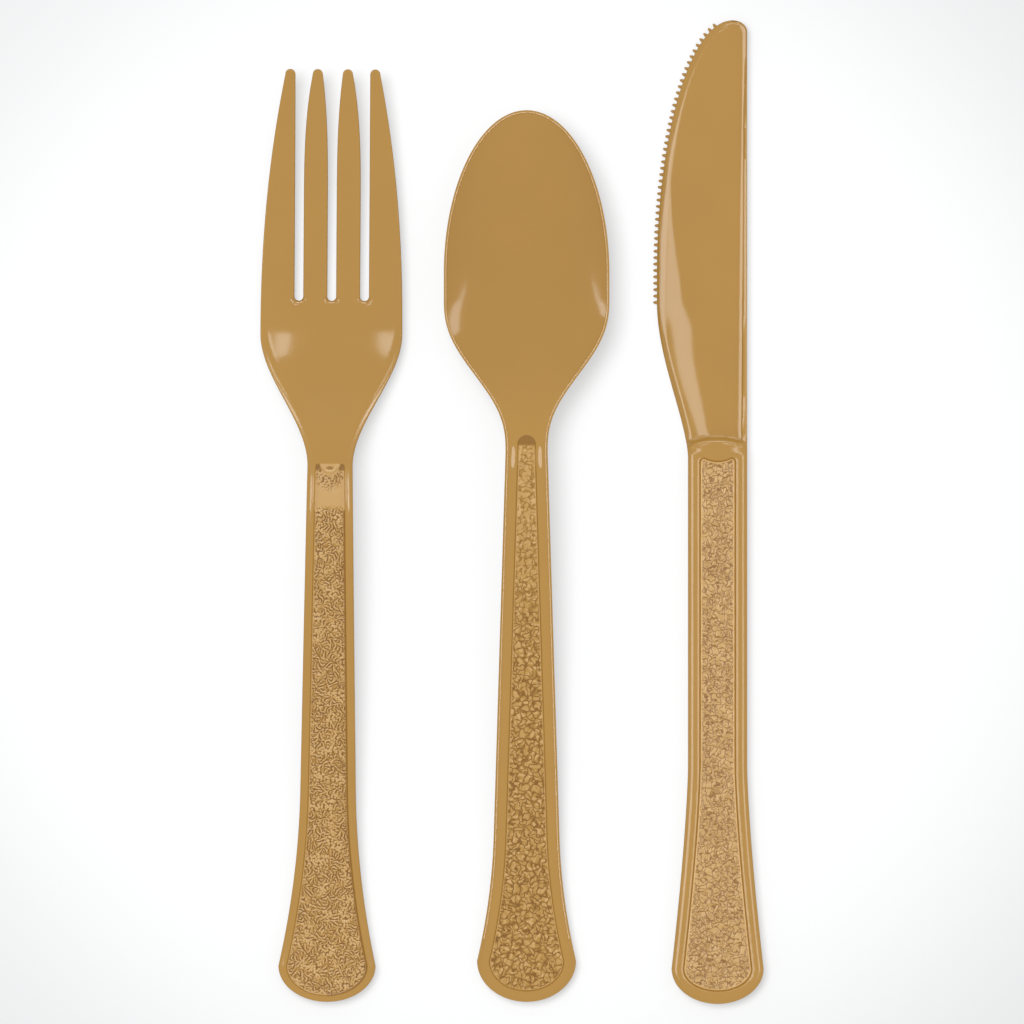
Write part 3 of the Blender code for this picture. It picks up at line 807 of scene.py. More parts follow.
def apply_tree(obj: bpy.types.Object, tree: bpy.types.NodeTree,
               values: dict[str, object]) -> None:
    """Run a Geometry Nodes tree on an object and keep the result as its mesh.

    Args:
        obj: Object that the tree works on.
        tree: The tree.
        values: Value of each named input.
    """
    modifier = obj.modifiers.new(tree.name, "NODES")
    modifier.node_group = tree
    for item in tree.interface.items_tree:
        if item.in_out == "INPUT" and item.name in values:
            modifier[item.identifier] = values[item.name]
    graph = bpy.context.evaluated_depsgraph_get()
    made = bpy.data.meshes.new_from_object(obj.evaluated_get(graph),
                                           preserve_all_data_layers=True, depsgraph=graph)
    obj.modifiers.clear()
    obj.data = made


@dataclass(frozen=True)
class GoldPlastic:
    """Glossy moulded plastic, dyed gold-brown all through."""

    colour: tuple[float, float, float] = (0.470, 0.252, 0.047)
    # Painted shade: colour painted into the grain's valleys and the panel's shaded walls.
    painted_shade_valley: tuple[float, float, float] = (0.245, 0.104, 0.005)
    # Painted highlight: colour painted on the grain's tops, where they would catch the light.
    painted_highlight_crown: tuple[float, float, float] = (0.670, 0.416, 0.160)
    roughness: float = 0.115
    grain_roughness: float = 0.27
    grain_bump: float = 1.2
    index: float = 1.47
    colour_stop: float = 0.45
    flow_scale: float = 90.0
    flow_tones: Span = Span(0.3, 0.7, 0.98, 1.015)
    skin_scale: float = 260.0
    grit_scale: float = 6500.0
    ripple_strength: float = 0.12
    ripple_height: float = 0.12 * MM

    def material(self, name: str, grain: Grain | None = None) -> bpy.types.Material:
        """The plastic: faint flow marks, painted highlight on grain tops, painted shade in
        valleys.

        Args:
            name: Name of the new material.
            grain: Grain of the piece's panel, or None for a piece without a panel.

        Returns:
            The new material.
        """
        made = bpy.data.materials.new(name)
        made.use_nodes = True
        write = TreeWriter(made.node_tree)
        shader = made.node_tree.nodes["Principled BSDF"]
        shader.inputs["IOR"].default_value = self.index
        place = write.node("ShaderNodeTexCoord").outputs["Object"]
        tone = write.spread(write.noise(place, self.flow_scale, 3.0), *self.flow_tones, "LINEAR")
        # Painted light: on the panel the colour runs from the painted highlight on grain tops,
        # through the plain colour, to painted shade in the valleys and wherever the shade mask
        # lies.
        panel = write.named("panel")
        hollow = write.named("shade")
        if grain is not None:
            hollow = write.math("MAXIMUM", hollow, grain.hollow(write, place, grain.spacing))
        shade = write.node("ShaderNodeValToRGB", {"Fac": hollow})
        shade.color_ramp.elements[0].color = (*self.painted_highlight_crown, 1.0)
        shade.color_ramp.elements[1].color = (*self.painted_shade_valley, 1.0)
        middle = shade.color_ramp.elements.new(self.colour_stop)
        middle.color = (*self.colour, 1.0)
        colour_with_painted_light = write.node("ShaderNodeMix", {"Factor": panel, "A": (*self.colour, 1.0),
                                           "B": shade.outputs["Color"]}, data_type="RGBA")
        toned = write.node("ShaderNodeVectorMath", {
            "Vector": next(out for out in colour_with_painted_light.outputs if out.enabled), "Scale": tone},
            operation="SCALE")
        write.feed(shader.inputs["Base Color"], toned)
        write.feed(shader.inputs["Roughness"],
                   write.spread(panel, 0.0, 1.0, self.roughness, self.grain_roughness))
        skin = write.noise(place, self.skin_scale, 1.0)
        rough = write.math("MULTIPLY", write.noise(place, self.grit_scale, 2.0), panel)
        height = write.math("MULTIPLY_ADD", rough, self.grain_bump, skin)
        ripple = write.node("ShaderNodeBump", {"Height": height,
                                               "Strength": self.ripple_strength,
                                               "Distance": self.ripple_height})
        write.feed(shader.inputs["Normal"], ripple)
        return made


@dataclass
class Utensil:
    """One moulded utensil, drawn upright from its handle's end."""

    name: str
    handle: HandleShape
    edge: EdgeProfile
    panel: PanelShape
    grain: Grain
    bevel_reach: float
    core_end: float
    placement: Placement
    fineness: Fineness = Fineness()
    core_rim: float = 1.6 * MM
    core_depth: float = 1.0 * MM
    core_wall: float = 0.3 * MM

    def outline(self) -> np.ndarray:
        """Corners of the utensil's outline, anticlockwise."""
        raise NotImplementedError

    def face(self, x: np.ndarray, y: np.ndarray) -> np.ndarray:
        """Height of the upper face, before its edges and its panel."""
        raise NotImplementedError

    def base(self, x: np.ndarray, y: np.ndarray) -> np.ndarray:
        """Height of the underside, before the hollow in it."""
        raise NotImplementedError

    def extra_depth(self, x: np.ndarray, y: np.ndarray, inside: np.ndarray) -> np.ndarray:
        """Depth of marks that only this utensil's panel has."""
        return np.zeros_like(x)

    def grain_strength(self, x: np.ndarray, y: np.ndarray) -> np.ndarray:
        """Share of the grain's full depth along the panel."""
        return np.ones_like(x)

    def density(self, y: np.ndarray) -> np.ndarray:
        """How closely the grain's marks stand at y, from 0 to 1."""
        return np.ones_like(y)

    def shade(self, x: np.ndarray, y: np.ndarray, inside: np.ndarray) -> np.ndarray:
        """Painted shade in the groove along the panel's wall, from 0 to 1."""
        return bump((inside - self.panel.groove_place) / self.panel.groove_width)

    def core_shape(self) -> PanelShape:
        """Outline of the hollow under the handle, as a panel."""
        return PanelShape(self.core_rim, self.core_rim, self.core_end, self.core_rim,
                          self.core_depth, self.core_wall, ramp_start=1.0)

    def fill(self, border: Border, loops: list[np.ndarray], fields: list[np.ndarray],
             ) -> tuple[np.ndarray, np.ndarray, np.ndarray]:
        """Fill the plan with triangles.

        Args:
            border: The plan's outline.
            loops: Points that run along edges and walls.
            fields: Points that fill the faces between them.

        Returns:
            Points of the plan, its triangles, and the points of the outline in order.
        """
        count = len(border.points)
        points = np.vstack([border.points, *loops, *fields])
        ring = [(i, (i + 1) % count) for i in range(count)]
        vectors = [Vector(point) for point in (points * PLAN_UNIT).tolist()]
        found = geometry.delaunay_2d_cdt(vectors, ring, [], 1, PLAN_TOLERANCE)
        plan = np.array([tuple(v) for v in found[0]]) / PLAN_UNIT
        faces = np.array(found[2])
        where = {old: new for new, olds in enumerate(found[3]) for old in olds if old < count}
        return plan, faces, np.array([where[i] for i in range(count)])

    def upper_points(self, border: Border, panel: Border) -> tuple[list, list]:
        """Loops and fields of the upper face.

        Args:
            border: The utensil's outline.
            panel: The panel's outline.

        Returns:
            The loops, and the points that fill the faces between them.
        """
        fine = self.fineness
        loops = [border.offset(d * MM) for d in fine.edge_loops]
        for d in fine.bevel_loops:
            loop = border.offset(d * MM)
            loops.append(loop[loop[:, 1] < self.bevel_reach])
        loops += [panel.offset(e * MM) for e in fine.wall_loops]
        low = border.points.min(axis=0)
        high = border.points.max(axis=0)
        wide = hexagonal(low, high, fine.face)
        depth = border.depth(wide)
        limit = np.where(wide[:, 1] < self.bevel_reach + fine.bevel_margin,
                         fine.bevel_loops[-1], fine.edge_loops[-1]) * MM
        clear = panel.depth(wide) < fine.wall_loops[0] * MM - fine.face / 2.0
        wide = wide[(depth > limit + fine.face / 2.0) & clear]
        close = hexagonal(panel.points.min(axis=0), panel.points.max(axis=0), fine.panel)
        close = close[panel.depth(close) > fine.wall_loops[-1] * MM + fine.panel / 2.0]
        return loops + self.feature_loops(border), [wide, close]

    def feature_loops(self, border: Border) -> list[np.ndarray]:
        """Loops along features that only this utensil has."""
        return []

    def lower_points(self, border: Border, core: Border) -> tuple[list, list]:
        """Loops and fields of the underside.

        Args:
            border: The utensil's outline.
            core: Outline of the hollow under the handle.

        Returns:
            The loops, and the points that fill the faces between them.
        """
        fine = self.fineness
        loops = [border.offset(d * MM) for d in fine.edge_loops[1::2]]
        loops += [core.offset(e * MM)[::3] for e in fine.hollow_loops]
        wide = hexagonal(border.points.min(axis=0), border.points.max(axis=0), fine.base)
        inside = core.depth(wide)
        clear = (inside < fine.hollow_clear[0]) | (inside > fine.hollow_clear[1])
        return loops, [wide[(border.depth(wide) > fine.base_margin) & clear]]

    def build(self) -> bpy.types.Object:
        """Make the utensil's closed mesh, in its place in the set.

        Returns:
            The new object, with the panel's mask as an attribute.
        """
        fine = self.fineness
        border = Border(self.outline(), fine.outline, fine.turn)
        panel = Border(self.panel.outline(self.handle), fine.outline, fine.turn)
        core = Border(self.core_shape().outline(self.handle), fine.outline, fine.turn)
        upper, faces, ring = self.fill(border, *self.upper_points(border, panel))
        lower, under, rim = self.fill(border, *self.lower_points(border, core))
        x, y = upper.T
        depth = np.maximum(border.depth(upper), 0.0)
        inside = panel.depth(upper)
        z = self.face(x, y) - self.edge.drop(depth, y)
        z -= self.panel.depth(inside, y) + self.extra_depth(x, y, inside)
        # Mask of the panel: where the material paints its highlight and shade, and where it is
        # rougher.
        panel_mask = smooth(inside / self.panel.grain_margin)
        cover = smooth((inside - self.panel.grain_margin) / self.panel.grain_fade)
        cover *= self.grain_strength(x, y)
        low_depth = np.maximum(border.depth(lower), 0.0)
        corner = np.clip(1.0 - low_depth / self.edge.head_corner, 0.0, 1.0)
        floor = self.base(lower[:, 0], lower[:, 1])
        floor += self.edge.head_corner * (1.0 - np.sqrt(1.0 - corner ** 2))
        floor += self.core_shape().depth(core.depth(lower), lower[:, 1])
        points = np.vstack([np.column_stack([upper, z]), np.column_stack([lower, floor])])
        rim = rim + len(upper)
        walls = np.column_stack([ring, rim, np.roll(rim, -1), np.roll(ring, -1)])
        polygons = faces.tolist() + (under[:, ::-1] + len(upper)).tolist() + walls.tolist()
        mesh = bpy.data.meshes.new(self.name)
        mesh.from_pydata(self.placement.lay(points).tolist(), [], polygons)
        # The shade mask is painted shade in the panel's walls, ramp, groove and dimple.
        masks = {"panel": panel_mask, "cover": cover, "shade": self.shade(x, y, inside),
                 "dense": self.density(y)}
        for name, mask in masks.items():
            values = np.concatenate([mask, np.zeros(len(lower))])
            mesh.attributes.new(name, "FLOAT", "POINT").data.foreach_set("value", values)
        return add_object(self.name, mesh)

    def dress(self, obj: bpy.types.Object, finish: GoldPlastic) -> None:
        """Press the grain into the panel and give the utensil its plastic.

        Args:
            obj: The utensil's object.
            finish: Its plastic.
        """
        plastic = finish.material(self.name + "_plastic", self.grain)
        apply_tree(obj, self.grain.tree(), {"Mark spacing": self.grain.spacing,
                                            "Mark depth": self.grain.depth,
                                            "Plastic": plastic})
        obj.name = self.name + "_moulding"
        obj.data.shade_smooth()
        obj.data.set_sharp_from_angle(angle=SHARP_ANGLE)
        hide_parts(self.name)
        fasten(obj)


@dataclass
class Fork(Utensil):
    """Fork: dished head with four tines that taper to round tips."""

    shoulder: float = 0.0255
    palm: float = 0.0064
    tine: float = 0.0446
    head_width: float = 0.0274
    slot_width: float = 0.00172
    slot_spacing: float = 0.00634
    tip_width: float = 0.00196
    inner_tip_spacing: float = 0.0058
    taper_length: float = 0.0250
    handle_thickness: float = 0.0030
    head_thickness: float = 0.0020
    tip_thickness: float = 0.0014
    crest_place: float = 0.0946
    crest_height: float = 0.0060
    tip_height: float = 0.0048
    dish: float = 0.0014
    heel_offset: float = 0.0015
    boss_radius: float = 0.00185
    boss_squash: float = 0.85
    outer_power: float = 2.2
    curl_power: float = 1.8
    lip_width: float = 0.00085
    lip_drop: float = 0.00042
    lip_fade: float = 0.5 * MM
    boss_edge: float = 0.40 * MM
    boss_rise: float = 0.03 * MM
    boss_shade_fade: float = 0.15 * MM
    boss_clear: Span = Span(0.1 * MM, 0.4 * MM)
    dimple_place: float = 0.95 * MM
    dimple_depth: float = 0.34 * MM
    dimple_size: tuple[float, float] = (0.75 * MM, 0.30 * MM)
    dimple_shade_size: tuple[float, float] = (0.80 * MM, 0.34 * MM)
    calm_start: float = 94.6 * MM
    calm_end: float = 100.4 * MM
    calm_bow: float = 0.5
    calm_fades: tuple[float, float] = (1.6 * MM, 3.0 * MM)
    calm_share: float = 0.9
    # Painted tone over the crest, which holds back the crest's painted highlight colour a little.
    calm_tone: float = 0.15
    calm_edge: float = 0.2 * MM
    # Strengths and places of the painted shade on the ramp, in the dimple and along the side
    # walls.
    ramp_painted_shade: float = 0.85
    ramp_fade: float = 0.5 * MM
    ramp_edge: float = 0.12 * MM
    dimple_painted_shade: float = 0.9
    wall_end: float = 95.4 * MM
    wall_fade: float = 0.8 * MM
    right_wall: Band = Band(0.22 * MM, 0.26 * MM)
    left_wall: Band = Band(0.10 * MM, 0.14 * MM, 0.9)

    def __post_init__(self) -> None:
        """Work out the places that follow from the sizes."""
        self.widest = self.handle.length + self.shoulder
        self.root = self.widest + self.palm
        self.length = self.root + self.tine
        self.slot_half = self.slot_width / 2.0
        self.slot_centre = self.root + self.slot_half
        self.tip_half = self.tip_width / 2.0
        self.tip_start = self.length - self.tip_half
        self.heel = self.widest + self.heel_offset

    def half(self, y: np.ndarray) -> np.ndarray:
        """Half width at y.

        Args:
            y: Distance from the handle's end.

        Returns:
            Half the fork's width.
        """
        grown = smooth((y - self.handle.length) / self.shoulder)
        lower = blend(self.handle.half(y), self.head_width / 2.0, grown)
        t = np.clip((y - self.widest) / (self.tip_start - self.widest), 0.0, 1.0)
        outer_tip = self.slot_spacing + self.slot_half + self.tip_width
        return np.where(y > self.widest, blend(self.head_width / 2.0, outer_tip,
                                               t ** self.outer_power), lower)

    def tine_path(self, inner: np.ndarray, outer: np.ndarray, up: np.ndarray) -> list[np.ndarray]:
        """Outline of a tine: up its outer side, round its tip and down its inner side.

        Args:
            inner: Place of the inner side at each height.
            outer: Place of the outer side at each height.
            up: The heights, from the slot's end to the tip.

        Returns:
            The three stretches, in order.
        """
        centre = (inner[-1] + outer[-1]) / 2.0
        return [np.column_stack([outer, up]),
                arc((centre, self.tip_start), self.tip_half, 0.0, math.pi),
                np.column_stack([inner, up])[::-1]]

    def outline(self) -> np.ndarray:
        """Corners of the fork's outline, anticlockwise.

        Returns:
            The corners.
        """
        up = even_places(self.slot_centre, self.tip_start)
        low = np.concatenate([self.handle.places(),
                              even_places(self.handle.length, self.slot_centre)])
        slim = (up - self.tip_start + self.taper_length) / self.taper_length
        slim = np.clip(slim, 0.0, 1.0) ** 3
        inner_tip = (self.inner_tip_spacing - self.tip_width) / 2.0
        path = [np.column_stack([self.half(low), low])]
        side = np.full_like(up, self.slot_spacing + self.slot_half)
        path += self.tine_path(side, self.half(up), up)
        path.append(arc((self.slot_spacing, self.slot_centre), self.slot_half, 0.0, -math.pi))
        path += self.tine_path(blend(self.slot_half, inner_tip, slim),
                               blend(self.slot_spacing - self.slot_half,
                                     inner_tip + self.tip_width, slim), up)
        path.append(arc((0.0, self.slot_centre), self.slot_half, 0.0, -math.pi / 2.0))
        return mirrored(np.vstack(path))

    def base(self, x: np.ndarray, y: np.ndarray) -> np.ndarray:
        """Height of the underside: it rises to the crest, falls to the heel and curls up.

        Args:
            x: Distance from the middle line.
            y: Distance from the handle's end.

        Returns:
            Height above the table.
        """
        handle = rising_line(y, self.handle.end_depth, self.crest_place, self.crest_height)
        fall = (y - self.crest_place) / (self.heel - self.crest_place)
        tips = np.clip((y - self.heel) / (self.length - self.heel), 0.0, 1.0)
        under = np.where(y < self.crest_place, handle, self.crest_height * (1.0 - smooth(fall)))
        under = np.where(y > self.heel, self.tip_height * tips ** self.curl_power, under)
        rise = smooth((y - self.handle.length) / self.shoulder)
        fade = 1.0 - smooth((y - self.root) / self.tine)
        return under + self.dish * rise * fade * (x / (self.head_width / 2.0)) ** 2

    def face(self, x: np.ndarray, y: np.ndarray) -> np.ndarray:
        """Height of the upper face.

        Args:
            x: Distance from the middle line.
            y: Distance from the handle's end.

        Returns:
            Height above the table.
        """
        head = smooth((y - self.handle.length) / self.shoulder)
        body = blend(self.handle_thickness, self.head_thickness, head)
        body = blend(body, self.tip_thickness, smooth((y - self.root) / self.tine))
        aside = np.abs(x) - np.where(np.abs(x) < self.slot_spacing / 2.0, 0.0, self.slot_spacing)
        away = np.hypot(aside, y - self.slot_centre) - self.slot_half
        below = smooth((self.slot_centre - y) / self.lip_fade)
        lip = np.clip(1.0 - away / self.lip_width, 0.0, 1.0) ** 2 * below
        return self.base(x, y) + body - self.lip_drop * lip

    def extra_depth(self, x: np.ndarray, y: np.ndarray, inside: np.ndarray) -> np.ndarray:
        """Small half-round boss at the panel's top, with a dimple in it.

        Args:
            x: Distance from the middle line.
            y: Distance from the handle's end.
            inside: Distance inside the panel's outline.

        Returns:
            Depth below the panel.
        """
        boss = smooth(-self.boss_gap(x, y) / self.boss_edge)
        sunk = self.dimple_depth * self.dimple(x, y, self.dimple_size)
        return boss * (sunk - self.panel.depth(inside, y) + self.boss_rise)

    def dimple(self, x: np.ndarray, y: np.ndarray, size: tuple[float, float]) -> np.ndarray:
        """Bell shape of the boss's dimple, from its half width and half length."""
        return bump(x / size[0]) * bump((y - self.panel.end + self.dimple_place) / size[1])

    def boss_gap(self, x: np.ndarray, y: np.ndarray) -> np.ndarray:
        """Distance outside the boss, negative on it."""
        return np.hypot(x, (y - self.panel.end) * self.boss_squash) - self.boss_radius

    def grain_strength(self, x: np.ndarray, y: np.ndarray) -> np.ndarray:
        """Grain that fades over the crest and keeps clear of the boss.

        Args:
            x: Distance from the middle line.
            y: Distance from the handle's end.

        Returns:
            Share of the grain's full depth, from 0 to 1.
        """
        low = smooth((y - self.calm_start) / self.calm_fades[0])
        crest = low * smooth((self.calm_end - y + np.abs(x) * self.calm_bow)
                             / self.calm_fades[1])
        near, far = self.boss_clear.low, self.boss_clear.high
        clear = smooth((self.boss_gap(x, y) - near) / (far - near))
        # Where the grain fades, the panel takes the painted highlight colour of the grain's tops.
        return (1.0 - self.calm_share * crest) * clear

    def shade(self, x: np.ndarray, y: np.ndarray, inside: np.ndarray) -> np.ndarray:
        """Painted shade on the ramp beside the boss, in the dimple and along the panel's walls.

        Args:
            x: Distance from the middle line.
            y: Distance from the handle's end.
            inside: Distance inside the panel's outline.

        Returns:
            The painted shade, from 0 to 1.
        """
        ramp = smooth((y - self.panel.end + self.panel.ramp) / self.ramp_fade)
        ramp *= smooth(inside / self.ramp_edge)
        ramp *= smooth(self.boss_gap(x, y) / self.boss_shade_fade)
        dimple = self.dimple_painted_shade * self.dimple(x, y, self.dimple_shade_size)
        below = smooth((self.wall_end - y) / self.wall_fade)
        wall = np.where(x > 0.0, self.right_wall.at(inside), 0.0)
        wall += np.where(x < 0.0, self.left_wall.at(inside), 0.0)
        # Over the crest a light painted tone holds back the painted highlight colour.
        crest = self.calm_tone * smooth((y - self.calm_start) / self.calm_fades[0])
        crest *= smooth(inside / self.calm_edge)
        dark = np.maximum(self.ramp_painted_shade * ramp, dimple) + wall * below
        return np.clip(np.maximum(dark, crest), 0.0, 1.0)


@dataclass
class Spoon(Utensil):
    """Spoon: deep oval bowl on a handle with a round-topped panel."""

    shoulder: float = 0.0300
    bowl: float = 0.0360
    bowl_width: float = 0.0319
    tip_depth: float = 0.0314
    bowl_depth: float = 0.0070
    bowl_wall: float = 0.0013
    handle_thickness: float = 0.0029
    crest_place: float = 0.1010
    crest_height: float = 0.0072
    deepest_offset: float = 0.006
    bowl_start: float = 0.001
    fullness: float = 2.2
    neck_grain: float = 0.75
    neck_grain_start: float = 60.0 * MM
    neck_grain_length: float = 45.0 * MM
    thinning_start: float = 62.0 * MM
    thinning_length: float = 34.0 * MM
    # Strength and extent of the painted shade on the panel's ramp.
    ramp_painted_shade: float = 0.85
    ramp_fade: float = 0.6 * MM
    ramp_edge: float = 0.1 * MM

    def __post_init__(self) -> None:
        """Work out the places that follow from the sizes."""
        self.widest = self.handle.length + self.shoulder
        self.length = self.widest + self.bowl
        self.oval = self.length - self.tip_depth
        self.deepest = self.widest + self.deepest_offset

    def half(self, y: np.ndarray) -> np.ndarray:
        """Half width at y.

        Args:
            y: Distance from the handle's end.

        Returns:
            Half the spoon's width.
        """
        grown = smoother((y - self.handle.length) / self.shoulder)
        lower = blend(self.handle.half(y), self.bowl_width / 2.0, grown)
        tip = quarter_round(self.length - y, self.bowl_width / 2.0, self.tip_depth)
        return np.where(y > self.oval, tip, lower)

    def outline(self) -> np.ndarray:
        """Corners of the spoon's outline, anticlockwise.

        Returns:
            The corners.
        """
        places = np.concatenate([self.handle.places(),
                                 even_places(self.handle.length, self.oval),
                                 self.length - round_places(self.tip_depth)[::-1]])
        return mirrored(np.column_stack([self.half(places), places]))

    def face(self, x: np.ndarray, y: np.ndarray) -> np.ndarray:
        """Height of the upper face: the rim, less the depth of the bowl.

        Args:
            x: Distance from the middle line.
            y: Distance from the handle's end.

        Returns:
            Height above the table.
        """
        handle = rising_line(y, self.handle.end_depth, self.crest_place, self.crest_height)
        crest = self.crest_height + self.handle_thickness
        t = (y - self.crest_place) / (self.widest - self.crest_place)
        bowl_rim = blend(crest, self.bowl_depth + self.bowl_wall, smooth(t))
        rim = np.where(y < self.crest_place, handle + self.handle_thickness, bowl_rim)
        start = self.handle.length + self.bowl_start
        near = smooth((y - start) / (self.deepest - start))
        t = np.clip((y - self.deepest) / (self.length - self.deepest), 0.0, 1.0)
        depth = self.bowl_depth * np.where(y < self.deepest, near, 1.0 - t ** self.fullness)
        u = np.clip(np.abs(x) / np.maximum(self.half(y), MERGE_DISTANCE), 0.0, 1.0)
        return rim - depth * (1.0 - u ** self.fullness)

    def base(self, x: np.ndarray, y: np.ndarray) -> np.ndarray:
        """Height of the underside."""
        t = smooth((y - self.crest_place) / (self.widest - self.crest_place))
        return self.face(x, y) - blend(self.handle_thickness, self.bowl_wall, t)

    def grain_strength(self, x: np.ndarray, y: np.ndarray) -> np.ndarray:
        """Grain that is a little shallower near the neck."""
        return blend(1.0, self.neck_grain,
                     smooth((y - self.neck_grain_start) / self.neck_grain_length))

    def density(self, y: np.ndarray) -> np.ndarray:
        """Marks that stand close at the handle's end and far apart near the neck."""
        return 1.0 - smooth((y - self.thinning_start) / self.thinning_length)

    def shade(self, x: np.ndarray, y: np.ndarray, inside: np.ndarray) -> np.ndarray:
        """Painted shade on the panel's ramp and in its groove.

        Args:
            x: Distance from the middle line.
            y: Distance from the handle's end.
            inside: Distance inside the panel's outline.

        Returns:
            The painted shade, from 0 to 1.
        """
        ramp = smooth((y - self.panel.end + self.panel.ramp) / self.ramp_fade)
        ramp *= smooth(inside / self.ramp_edge)
        return np.maximum(self.ramp_painted_shade * ramp, super().shade(x, y, inside))


@dataclass
class Knife(Utensil):
    """Knife: flat blade with a spine rib, an edge bevel and a collar at its neck."""

    heel: float = 0.0300
    blade: float = 0.0545
    blade_reach: float = 0.0117
    heel_lead: float = 0.8
    tip_place: float = 0.0028
    tip_sweep: float = 0.0490
    spine_corner: float = 0.0022
    handle_thickness: float = 0.0032
    blade_thickness: float = 0.0016
    spine_thickness: float = 0.0023
    edge_thickness: float = 0.0010
    bevel: float = 0.0011
    collar_length: float = 0.0020
    collar_bow: float = 0.0012
    step_length: float = 0.0010
    roll_start: float = 0.1058
    roll: float = 0.00018
    side_roll: float = 0.00030
    hollow_slope: float = 0.062
    hollow_places: tuple[float, ...] = (0.1079, 0.1126, 0.1172, 0.1218, 0.1265, 0.1311, 0.1357,
                                        0.1427, 0.1520, 0.1600)
    hollow_line: tuple[float, ...] = (-0.00235, -0.00341, -0.00466, -0.00582, -0.0066, -0.0070,
                                      -0.0085, -0.0092, -0.0098, -0.0100)
    hollow_widths: tuple[float, ...] = (0.0032, 0.0037, 0.0046, 0.0052, 0.0056, 0.0062, 0.0052,
                                        0.0042, 0.0026, 0.0014)
    rib_places: tuple[float, ...] = (0.1079, 0.1540, 0.1860)
    rib_insets: tuple[float, ...] = (0.00145, 0.00106, 0.00058)
    rib_foot: float = 0.0007
    rib_slope: float = 0.60
    rib_foot_lead: float = 0.43
    rib_rise: float = 0.2
    blade_lift: float = 0.12 * MM
    side_roll_length: float = 1.1 * MM
    bevel_fade: float = 3.0 * MM
    slant_step: float = 0.05 * MM
    sweep_count: int = 600
    bevel_loops: tuple[float, ...] = (0.75, 0.9, 1.0, 1.1, 1.2, 1.35, 1.6)
    loop_start: float = 1.0 * MM
    loop_margin: float = 2.5 * MM
    ridge_places: tuple[float, ...] = (0.1280, 0.1350, 0.1540, 0.1700, 0.1850)
    ridge_softness: tuple[float, ...] = (0.00008, 0.00040, 0.00045, 0.00026, 0.00010)

    def __post_init__(self) -> None:
        """Work out the places that follow from the sizes."""
        self.length = self.handle.length + self.heel + self.blade
        self.sweep_start = self.length - self.tip_sweep
        self.spine = self.handle.neck_width / 2.0
        self.step = self.handle.length + self.collar_length

    def left(self, y: np.ndarray) -> np.ndarray:
        """Place of the left side at y: the handle, the heel and the blade's edge.

        Args:
            y: Distance from the handle's end.

        Returns:
            Place of the side, which is negative.
        """
        t = smooth((y - self.handle.length) / self.heel) ** self.heel_lead
        lower = -blend(self.handle.half(y), self.blade_reach, t)
        reach = self.blade_reach + self.tip_place
        tip = self.tip_place - quarter_round(self.length - y, reach, self.tip_sweep)
        return np.where(y > self.sweep_start, tip, lower)

    def right(self, y: np.ndarray) -> np.ndarray:
        """Place of the right side at y: the handle and the spine.

        Args:
            y: Distance from the handle's end.

        Returns:
            Place of the side.
        """
        corner = self.spine - self.tip_place
        tip = self.tip_place + quarter_round(self.length - y, corner, self.spine_corner)
        lower = np.where(y < self.handle.length, self.handle.half(y), self.spine)
        return np.where(y > self.length - self.spine_corner, tip, lower)

    def outline(self) -> np.ndarray:
        """Corners of the knife's outline, anticlockwise.

        Returns:
            The corners.
        """
        spine = np.concatenate([self.handle.places(),
                                even_places(self.handle.length, self.length - self.spine_corner),
                                self.length - round_places(self.spine_corner)[::-1]])
        edge = np.concatenate([self.handle.places(),
                               even_places(self.handle.length, self.sweep_start),
                               self.length - round_places(self.tip_sweep, self.sweep_count)[::-1]])
        right = np.column_stack([self.right(spine), spine])
        left = np.column_stack([self.left(edge), edge])[::-1]
        return np.vstack([right, left[1:-1]])

    def face(self, x: np.ndarray, y: np.ndarray) -> np.ndarray:
        """Height of the upper face: the handle, the collar and the blade.

        Args:
            x: Distance from the middle line.
            y: Distance from the handle's end.

        Returns:
            Height above the table.
        """
        left, right = self.left(y), self.right(y)
        u = (x - left) / np.maximum(right - left, MERGE_DISTANCE)
        bow = self.collar_bow * 4.0 * u * (1.0 - u)
        inset = np.interp(y, self.rib_places, self.rib_insets)
        foot = (x - right + inset) / self.rib_foot + self.rib_foot_lead
        foot = np.clip(foot, 0.0, 1.0 + self.rib_rise)
        foot_rise = self.rib_slope * self.rib_foot / 2.0 * np.minimum(foot, 1.0) ** 2
        rib = smooth((foot - 1.0) / self.rib_rise)
        hollow = np.interp(y, self.hollow_places, self.hollow_line)
        width = np.interp(y, self.hollow_places, self.hollow_widths)
        fall = self.hollow_slope * width * (1.0 - smooth((x - hollow) / width + 0.5))
        web = blend(self.blade_thickness + self.blade_lift - fall + foot_rise,
                    self.spine_thickness, rib)
        down = smooth((y - bow - self.step) / self.step_length)
        along = np.clip((y - self.roll_start) / (self.step + bow - self.roll_start), 0.0, 1.0)
        side = (2.0 * u - 1.0) ** 2 * bump((y - self.step) / self.side_roll_length)
        roll = self.roll * along ** 2 + self.side_roll * side
        return blend(self.handle_thickness - roll, web, down)

    def base(self, x: np.ndarray, y: np.ndarray) -> np.ndarray:
        """Height of the underside, which is flat past the rounded end."""
        return rising_line(y, self.handle.end_depth, self.length, 0.0)

    def extra_depth(self, x: np.ndarray, y: np.ndarray, inside: np.ndarray) -> np.ndarray:
        """Bevel along the blade's left side, from the collar to the tip.

        Args:
            x: Distance from the middle line.
            y: Distance from the handle's end.
            inside: Distance inside the panel's outline.

        Returns:
            Depth below the face.
        """
        blade = smooth((y - self.step) / self.bevel_fade)
        slant = self.bevel - (x - self.left(y)) * self.slant(y)
        soft = np.interp(y, self.ridge_places, self.ridge_softness)
        fall = (slant + np.sqrt(slant ** 2 + soft ** 2)) / 2.0
        fall *= (self.blade_thickness - self.edge_thickness) / self.bevel
        return np.where(slant > -self.bevel_fade, blade * fall, 0.0)

